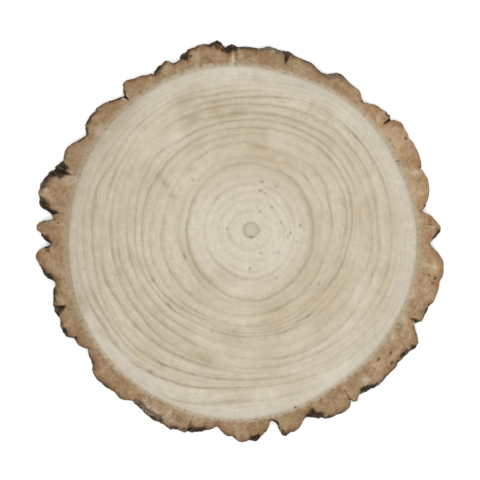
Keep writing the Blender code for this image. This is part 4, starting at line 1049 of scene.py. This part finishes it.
def sawn_wood(settings, pith):
    """Poplar end grain, fine-sawn and sanded. The eye sees a matt pale cream with thin grey-olive
    lines where each year's growth ends, faint lines between them, fine pores and faint rays."""
    made, tree = new_material("sawn_poplar_end_grain")
    place, flat, direction = places(tree, pith)
    names = ("growth", "ring_gap", "ring_line", "past_wood", "speck_and_shade", "stain", "joining")
    growth, gap, line, past_wood, speck_and_shade, stain, joining = (
        add(tree, "Attribute", output="Fac", attribute_name=name) for name in names
    )

    colour, quiet = plain_wood(tree, settings, place, growth, past_wood)
    dark = ring_lines(tree, settings, direction, growth, gap, line)
    colour = add(tree, "Mix", (dark, colour, tuple(settings.ring_colour)), data_type="RGBA")
    colour = marked_wood(tree, place, colour, stain, speck_and_shade)

    # Pores at 1 mm, where the real ones are finer, soft mottling 7 mm across, and faint rays. The
    # heart and the new wood have few ring lines, and mottling 3 mm across shows there.
    grain = add(tree, "TexNoise", {"Vector": place, "Scale": 1.0, "Detail": 2.0})
    mottling = add(tree, "TexNoise", {"Vector": place, "Scale": 0.15, "Detail": 4.0, "Roughness": 0.6})
    outwards = add(tree, "VectorMath", (flat,), output="Value", operation="LENGTH")
    rays = ring_noise(tree, direction, 45.0, 0.22, outwards, detail=2.0)
    texture = add(tree, "Math", (mottling, 1.4, grain), operation="MULTIPLY_ADD")
    texture = add(tree, "Math", (rays, 0.65, texture), operation="MULTIPLY_ADD")
    shade = add(tree, "MapRange", (texture, 1.1, 1.9, 0.9, 1.075))
    patchy = add(tree, "TexNoise", {"Vector": place, "Scale": 0.4, "Detail": 5.0, "Roughness": 0.75})
    patchy = add(tree, "MapRange", (patchy, 0.35, 0.65, -0.065, 0.055))
    shade = add(tree, "Math", (patchy, quiet, shade), operation="MULTIPLY_ADD")
    colour = shaded(tree, colour, shade)

    # The last two millimetres take the colour of the band that joins the bark
    fuzzy = add(tree, "TexNoise", {"Vector": place, "Scale": 0.4, "Detail": 4.0})
    fuzzy = add(tree, "Math", (fuzzy, 6.0, -3.0), operation="MULTIPLY_ADD")
    fuzzy = add(tree, "Math", (past_wood, fuzzy), operation="ADD")
    joined = add(tree, "MapRange", (fuzzy, -2.6, 0.9, 0.0, 0.85), interpolation_type="SMOOTHSTEP")
    band_colour = joining_colour(tree, joining)
    colour = add(tree, "Mix", (joined, colour, band_colour), data_type="RGBA")

    rough = add(tree, "MapRange", (grain, 0.3, 0.7, 0.68, 0.84))
    height = add(tree, "Math", (dark, -0.6, texture), operation="MULTIPLY_ADD")
    bump = add(tree, "Bump", {"Height": height, "Strength": 0.35, "Distance": 0.0003})
    surface(tree, {"Base Color": colour, "Roughness": rough, "Specular IOR Level": 0.3, "Normal": bump})
    return made


def plain_bark(tree, settings, place, from_edge):
    """The cut bark's colour without its layers and marks."""
    # Blotches 7 mm across between tan and a redder, darker brown
    blotchy = {"Vector": place, "Scale": 0.14, "Detail": 5.0, "Roughness": 0.6, "Distortion": 0.6}
    blotch = add(tree, "TexNoise", blotchy)
    blotch = add(tree, "MapRange", (blotch, 0.36, 0.66))
    colour = add(tree, "Mix", (blotch, tuple(settings.cut_bark_colour), linear("8C6F4F")), data_type="RGBA")

    # Lighter patches 11 mm across and pinkish ones 17 mm across
    light = add(tree, "TexNoise", {"Vector": place, "Scale": 0.09, "Detail": 3.0, "Distortion": 0.4})
    light = add(tree, "MapRange", (light, 0.48, 0.7, 0.0, 0.7))
    colour = add(tree, "Mix", (light, colour, linear("B19D80")), data_type="RGBA")
    pinkish = add(tree, "TexNoise", {"Vector": place, "Scale": 0.06, "Detail": 3.0, "Distortion": 0.5})
    pinkish = add(tree, "MapRange", (pinkish, 0.45, 0.65, 0.0, 0.6))
    colour = add(tree, "Mix", (pinkish, colour, linear("A1846A")), data_type="RGBA")

    # The outer bark is redder and darker, in patches
    outer = add(tree, "MapRange", (from_edge, 1.0, 8.0, 1.0, 0.0), interpolation_type="SMOOTHSTEP")
    ruddy = add(tree, "TexNoise", {"Vector": place, "Scale": 0.1, "Detail": 3.0, "Distortion": 0.4})
    ruddy = add(tree, "MapRange", (ruddy, 0.38, 0.62, 0.1, 0.85))
    ruddy = add(tree, "Math", (ruddy, outer), operation="MULTIPLY")
    return add(tree, "Mix", (ruddy, colour, linear("8A6647")), data_type="RGBA")


def joining_band(tree, place, direction, past_wood, joining):
    """How much of the cut bark is the band that joins the wood, and the band's colour."""
    # The band that joins the wood, 2 to 4 mm wide, with short dark ticks across it
    fuzzy = add(tree, "TexNoise", {"Vector": place, "Scale": 0.33, "Detail": 5.0, "Roughness": 0.65})
    fuzzy = add(tree, "Math", (fuzzy, 9.0, -4.5), operation="MULTIPLY_ADD")
    fuzzy = add(tree, "Math", (past_wood, fuzzy), operation="ADD")
    reach = add(tree, "MapRange", (joining, 0.0, 1.0, 3.0, 6.6))
    band = add(tree, "MapRange", (fuzzy, 0.4, reach, 0.9, 0.0), interpolation_type="SMOOTHSTEP")
    ticks = ring_noise(tree, direction, 95.0, 0.25, past_wood, detail=2.0)
    ticks = add(tree, "MapRange", (ticks, 0.56, 0.7))
    ticks = add(tree, "Math", (ticks, 0.7), operation="MULTIPLY")
    band_colour = joining_colour(tree, joining)
    band_colour = add(tree, "Mix", (ticks, band_colour, linear("786F5E")), data_type="RGBA")
    return band, band_colour


def cut_bark(settings, pith):
    """Poplar bark where the saw went through it. The eye sees a matt tan brown, mottled with
    redder and darker spots, with layers that run with the trunk's edge, a dark outer rim, and a
    grey-beige fibrous band where it joins the wood. Painted shade deepens its dark marks and
    rim, and darkens all but its right side."""
    made, tree = new_material("cut_poplar_bark")
    place, _, direction = places(tree, pith)
    names = ("past_wood", "from_edge", "speck_and_shade", "pale", "weathered_and_shaded", "joining")
    past_wood, from_edge, speck_and_shade, pale, weathered_and_shaded, joining = (
        add(tree, "Attribute", output="Fac", attribute_name=name) for name in names
    )

    colour = plain_bark(tree, settings, place, from_edge)

    # Layers of bark, 2 mm apart, and soft grit. Where the sawn edge is darkened the whole cut bark is
    # darker too: partly duller weathered bark, partly painted shade that leaves the right side lighter.
    layers = ring_noise(tree, direction, 30.0, 0.6, past_wood, detail=3.0)
    grit = add(tree, "TexNoise", {"Vector": place, "Scale": 0.42, "Detail": 5.0, "Roughness": 0.7})
    texture = add(tree, "Math", (layers, 0.4, grit), operation="MULTIPLY_ADD")
    shade = add(tree, "MapRange", (texture, 0.45, 0.95, 0.66, 1.25))
    dulled_and_shaded = add(tree, "MapRange", (weathered_and_shaded, 0.1, 0.6, 1.0, 0.83))
    shade = add(tree, "Math", (shade, dulled_and_shaded), operation="MULTIPLY")
    colour = shaded(tree, colour, shade)

    band, band_colour = joining_band(tree, place, direction, past_wood, joining)
    colour = add(tree, "Mix", (band, colour, band_colour), data_type="RGBA")

    # Pale crumbs, 1 mm across, at the pale marks
    crumbs = add(tree, "TexNoise", {"Vector": place, "Scale": 0.8, "Detail": 3.0})
    crumbs = add(tree, "MapRange", (crumbs, 0.3, 0.56, 0.15))
    crumbs = add(tree, "Math", (crumbs, pale), operation="MULTIPLY")
    colour = add(tree, "Mix", (crumbs, colour, linear("C8C0AE")), data_type="RGBA")

    # Dark marks with ragged edges, darkest near the rim and partly painted shade in cracks and pits, and
    # dark spots 2 mm across
    ragged = add(tree, "TexNoise", {"Vector": place, "Scale": 0.7, "Detail": 3.0})
    ragged = add(tree, "Math", (ragged, 1.1, 0.45), operation="MULTIPLY_ADD")
    ragged = add(tree, "Math", (speck_and_shade, ragged), operation="MULTIPLY")
    marked = add(tree, "MapRange", (ragged, 0.16, 0.62, 0.0, 0.93), interpolation_type="SMOOTHSTEP")
    inner = add(tree, "MapRange", (from_edge, 2.5, 6.0))
    mark_colour = add(tree, "Mix", (inner, linear("342412"), linear("554028")), data_type="RGBA")
    colour = add(tree, "Mix", (marked, colour, mark_colour), data_type="RGBA")
    spots = add(tree, "TexNoise", {"Vector": place, "Scale": 0.55, "Detail": 2.0})
    spots = add(tree, "MapRange", (spots, 0.63, 0.74, 0.0, 0.55))
    colour = add(tree, "Mix", (spots, colour, linear("5D4836")), data_type="RGBA")

    # The dark rim, from 0.6 to 4.6 mm wide, where the weather has reached the bark. Away from the right
    # side it is darker, partly from painted shade
    rim_width = add(tree, "TexNoise", {"Vector": place, "Scale": 0.3, "Detail": 4.0})
    rim_width = add(tree, "MapRange", (rim_width, 0.35, 0.68, 0.6, 4.6))
    rim = add(tree, "MapRange", (from_edge, 0.0, rim_width, 1.5, 0.0))
    rim = add(tree, "Math", (rim, weathered_and_shaded), operation="MULTIPLY", use_clamp=True)
    colour = add(tree, "Mix", (rim, colour, linear("5A4734")), data_type="RGBA")

    rough = add(tree, "MapRange", (grit, 0.3, 0.7, 0.82, 0.96))
    bump = add(tree, "Bump", {"Height": texture, "Strength": 0.6, "Distance": 0.0006})
    surface(tree, {"Base Color": colour, "Roughness": rough, "Specular IOR Level": 0.2, "Normal": bump})
    return made


def weathered_bark(settings, pith):
    """Poplar bark that the weather has worked on. The eye sees rough grey-brown ridges, furrows
    that are nearly black, partly from painted shade, paler grey patches, and tan where an edge
    broke off lately."""
    made, tree = new_material("weathered_poplar_bark")
    place, _, _ = places(tree, pith)
    names = ("relief", "furrow", "from_edge", "pale", "weathered_and_shaded", "speck_and_shade")
    relief, furrow, from_edge, pale, weathered_and_shaded, speck_and_shade = (
        add(tree, "Attribute", output="Fac", attribute_name=name) for name in names
    )

    # Fibres run up the trunk, so the noise is stretched along Z. The real ones are finer than the
    # picture, and these are 1.7 mm wide.
    stretched = add(tree, "VectorMath", (place, (1.0, 1.0, 0.22)), operation="MULTIPLY")
    fibres = add(tree, "TexNoise", {"Vector": stretched, "Scale": 0.6, "Detail": 5.0, "Roughness": 0.65})
    grit = add(tree, "TexNoise", {"Vector": place, "Scale": 1.0, "Detail": 4.0, "Roughness": 0.7})
    raised = add(tree, "Math", (relief, 0.4, fibres), operation="MULTIPLY_ADD")
    raised = add(tree, "MapRange", (raised, 0.1, 0.95), interpolation_type="SMOOTHSTEP")
    ridge_colour = tuple(settings.outer_bark_colour)
    colour = add(tree, "Mix", (raised, linear("2A1F12"), ridge_colour), data_type="RGBA")

    # Grey weathered patches, 9 mm across, on what stands out
    patches = add(tree, "TexNoise", {"Vector": place, "Scale": 0.11, "Detail": 4.0})
    patches = add(tree, "MapRange", (patches, 0.48, 0.66))
    patches = add(tree, "Math", (patches, raised), operation="MULTIPLY")
    lower = add(tree, "MapRange", (from_edge, 2.0, 7.0, 0.15))
    patches = add(tree, "Math", (patches, lower), operation="MULTIPLY")
    colour = add(tree, "Mix", (patches, colour, linear("857D72")), data_type="RGBA")

    # Furrows are darker the deeper they lie behind the plates beside them: partly the darker bark in them,
    # partly painted shade
    furrow_shade = add(tree, "Math", (furrow, 0.7), operation="MULTIPLY")
    colour = add(tree, "Mix", (furrow_shade, colour, linear("1C1611")), data_type="RGBA")

    # Where an edge broke off lately, and along the sawn edge itself. The sawn edge shows less tan away
    # from the right side, partly as painted shade
    upper = add(tree, "MapRange", (from_edge, 3.0, 7.0, 0.32, 0.0))
    crumb_noise = add(tree, "TexNoise", {"Vector": place, "Scale": 0.62, "Detail": 3.0, "Roughness": 0.6})
    crumbs = add(tree, "MapRange", (crumb_noise, 0.5, 0.64))
    crumbs = add(tree, "Math", (crumbs, upper), operation="MULTIPLY")
    fresh = add(tree, "MapRange", (grit, 0.36, 0.58))
    fresh = add(tree, "Math", (fresh, pale, crumbs), operation="MULTIPLY_ADD", use_clamp=True)
    colour = add(tree, "Mix", (fresh, colour, linear("9C8A71")), data_type="RGBA")
    sawn = add(tree, "MapRange", (from_edge, 0.4, 1.8, 1.0, 0.0))
    clean_and_lit = add(tree, "MapRange", (weathered_and_shaded, 0.1, 0.6, 1.0, 0.35))
    sawn = add(tree, "Math", (sawn, clean_and_lit), operation="MULTIPLY")
    colour = add(tree, "Mix", (sawn, colour, linear("7C6145")), data_type="RGBA")

    # Cracks and old breaks are dark brown, in places nearly black, partly with painted shade, and grit
    # 1 mm across shades all
    marked = add(tree, "MapRange", (speck_and_shade, 0.1, 0.6, 0.0, 0.95))
    mottled = add(tree, "MapRange", (crumb_noise, 0.46, 0.66))
    mark_colour = add(tree, "Mix", (mottled, linear("211508"), linear("54452F")), data_type="RGBA")
    colour = add(tree, "Mix", (marked, colour, mark_colour), data_type="RGBA")
    shade = add(tree, "MapRange", (grit, 0.32, 0.68, 0.42, 1.55))
    colour = shaded(tree, colour, shade)

    rough = add(tree, "MapRange", (grit, 0.3, 0.7, 0.86, 1.0))
    height = add(tree, "Math", (fibres, grit), operation="ADD")
    bump = add(tree, "Bump", {"Height": height, "Strength": 0.9, "Distance": 0.0012})
    surface(tree, {"Base Color": colour, "Roughness": rough, "Specular IOR Level": 0.2, "Normal": bump})
    return made


def white_board(settings):
    """Painted board, matt. The eye sees a plain white with no gloss."""
    made, tree = new_material("matt_white_board")
    colour = tuple(settings.floor_colour)
    surface(tree, {"Base Color": colour, "Roughness": 0.95, "Specular IOR Level": 0.1})
    return made


class MakeWoodSlice(bpy.types.Operator):
    """Grow the slice's surface round the frame's solid and give it its three finishes"""

    bl_idname = "object.make_wood_slice"
    bl_label = "Make the wood slice"

    def execute(self, context):
        settings = context.scene.wood_slice
        rows, pith = grown_slice(settings)
        points = [row for _, row, _ in rows]
        faces, face_rows = grid_faces(points)
        mesh = bpy.data.meshes.new("grown_slice")
        mesh.from_pydata(np.vstack(points).tolist(), [], faces)
        finishes = {
            "sawn_wood": sawn_wood(settings, pith),
            "cut_bark": cut_bark(settings, pith),
            "weathered_bark": weathered_bark(settings, pith),
        }
        for finish in finishes.values():
            mesh.materials.append(finish)
        order = list(finishes)
        numbers = np.array([order.index(finish) for finish, _, _ in rows])
        mesh.polygons.foreach_set("material_index", numbers[face_rows].astype(np.int32))
        for name in CARRIED:
            values = [np.broadcast_to(carried.get(name, 0.0), len(row)) for _, row, carried in rows]
            attribute = mesh.attributes.new(name, "FLOAT", "POINT")
            attribute.data.foreach_set("value", np.concatenate(values).astype(np.float32))
        mesh.update()
        mesh.shade_smooth()
        mesh.set_sharp_from_angle(angle=SHARP)
        piece = bpy.data.objects.new("grown_slice", mesh)
        context.scene.collection.objects.link(piece)
        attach(piece, BODY)
        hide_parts(NODE)
        return {"FINISHED"}


class SetUpStudio(bpy.types.Operator):
    """Lay a pale floor, hang a soft light over it and look straight down at the slice"""

    bl_idname = "scene.set_up_studio"
    bl_label = "Set up the studio"

    def execute(self, context):
        scene = context.scene
        settings = scene.wood_slice_studio
        far = FLOOR_REACH
        mesh = bpy.data.meshes.new("studio_floor")
        corners = ((-far, -far), (far, -far), (far, far), (-far, far))
        mesh.from_pydata([(x, y, -FLOOR_GAP) for x, y in corners], [], [(0, 1, 2, 3)])
        mesh.materials.append(white_board(settings))
        floor = bpy.data.objects.new("studio_floor", mesh)
        scene.collection.objects.link(floor)

        softbox = bpy.data.lights.new("softbox", "AREA")
        softbox.shape = "DISK"
        softbox.size = SOFTBOX_SIZE
        softbox.energy = settings.light_power
        lamp = bpy.data.objects.new("softbox", softbox)
        lamp.location = SOFTBOX_PLACE
        lamp.rotation_euler = SOFTBOX_TURN
        scene.collection.objects.link(lamp)

        world = bpy.data.worlds.new("studio_air")
        world.use_nodes = True
        background = world.node_tree.nodes["Background"]
        background.inputs["Color"].default_value = (1.0, 1.0, 1.0, 1.0)
        background.inputs["Strength"].default_value = AIR_LIGHT
        scene.world = world
        scene.view_settings.view_transform = "Standard"
        scene.view_settings.look = "None"

        lens = bpy.data.cameras.new("camera")
        lens.lens = LENS_LENGTH_MM
        lens.sensor_width = SENSOR_WIDTH_MM
        lens.clip_start = 50 * MM
        camera = bpy.data.objects.new("camera", lens)
        distance = settings.view_width * LENS_LENGTH_MM / SENSOR_WIDTH_MM
        camera.location = (*CAMERA_PLACE, HIGH[2] + distance)
        scene.collection.objects.link(camera)
        scene.camera = camera
        return {"FINISHED"}


class WoodSlicePanel(bpy.types.Panel):
    """The sidebar's panel, with both groups of settings and a button for each"""

    bl_idname = "VIEW3D_PT_wood_slice"
    bl_label = "Wood slice"
    bl_space_type = "VIEW_3D"
    bl_region_type = "UI"
    bl_category = "Wood slice"

    def draw(self, context):
        """List each group's settings and its button."""
        for settings, operator in (
            (context.scene.wood_slice, MakeWoodSlice),
            (context.scene.wood_slice_studio, SetUpStudio),
        ):
            box = self.layout.box()
            for name in settings.bl_rna.properties.keys():
                if name not in ("rna_type", "name"):
                    box.prop(settings, name)
            box.operator(operator.bl_idname)


CLASSES = (SliceSettings, StudioSettings, MakeWoodSlice, SetUpStudio, WoodSlicePanel)


def register():
    """Register the classes and hang the settings on the scene."""
    for made in CLASSES:
        bpy.utils.register_class(made)
    bpy.types.Scene.wood_slice = bpy.props.PointerProperty(type=SliceSettings)
    bpy.types.Scene.wood_slice_studio = bpy.props.PointerProperty(type=StudioSettings)


def unregister():
    """Take the settings off the scene and unregister the classes."""
    del bpy.types.Scene.wood_slice_studio
    del bpy.types.Scene.wood_slice
    for made in reversed(CLASSES):
        bpy.utils.unregister_class(made)


def main():
    """Register the add-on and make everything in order."""
    register()
    bpy.ops.object.make_wood_slice()
    bpy.ops.scene.set_up_studio()


if __name__ == "__main__":
    main()
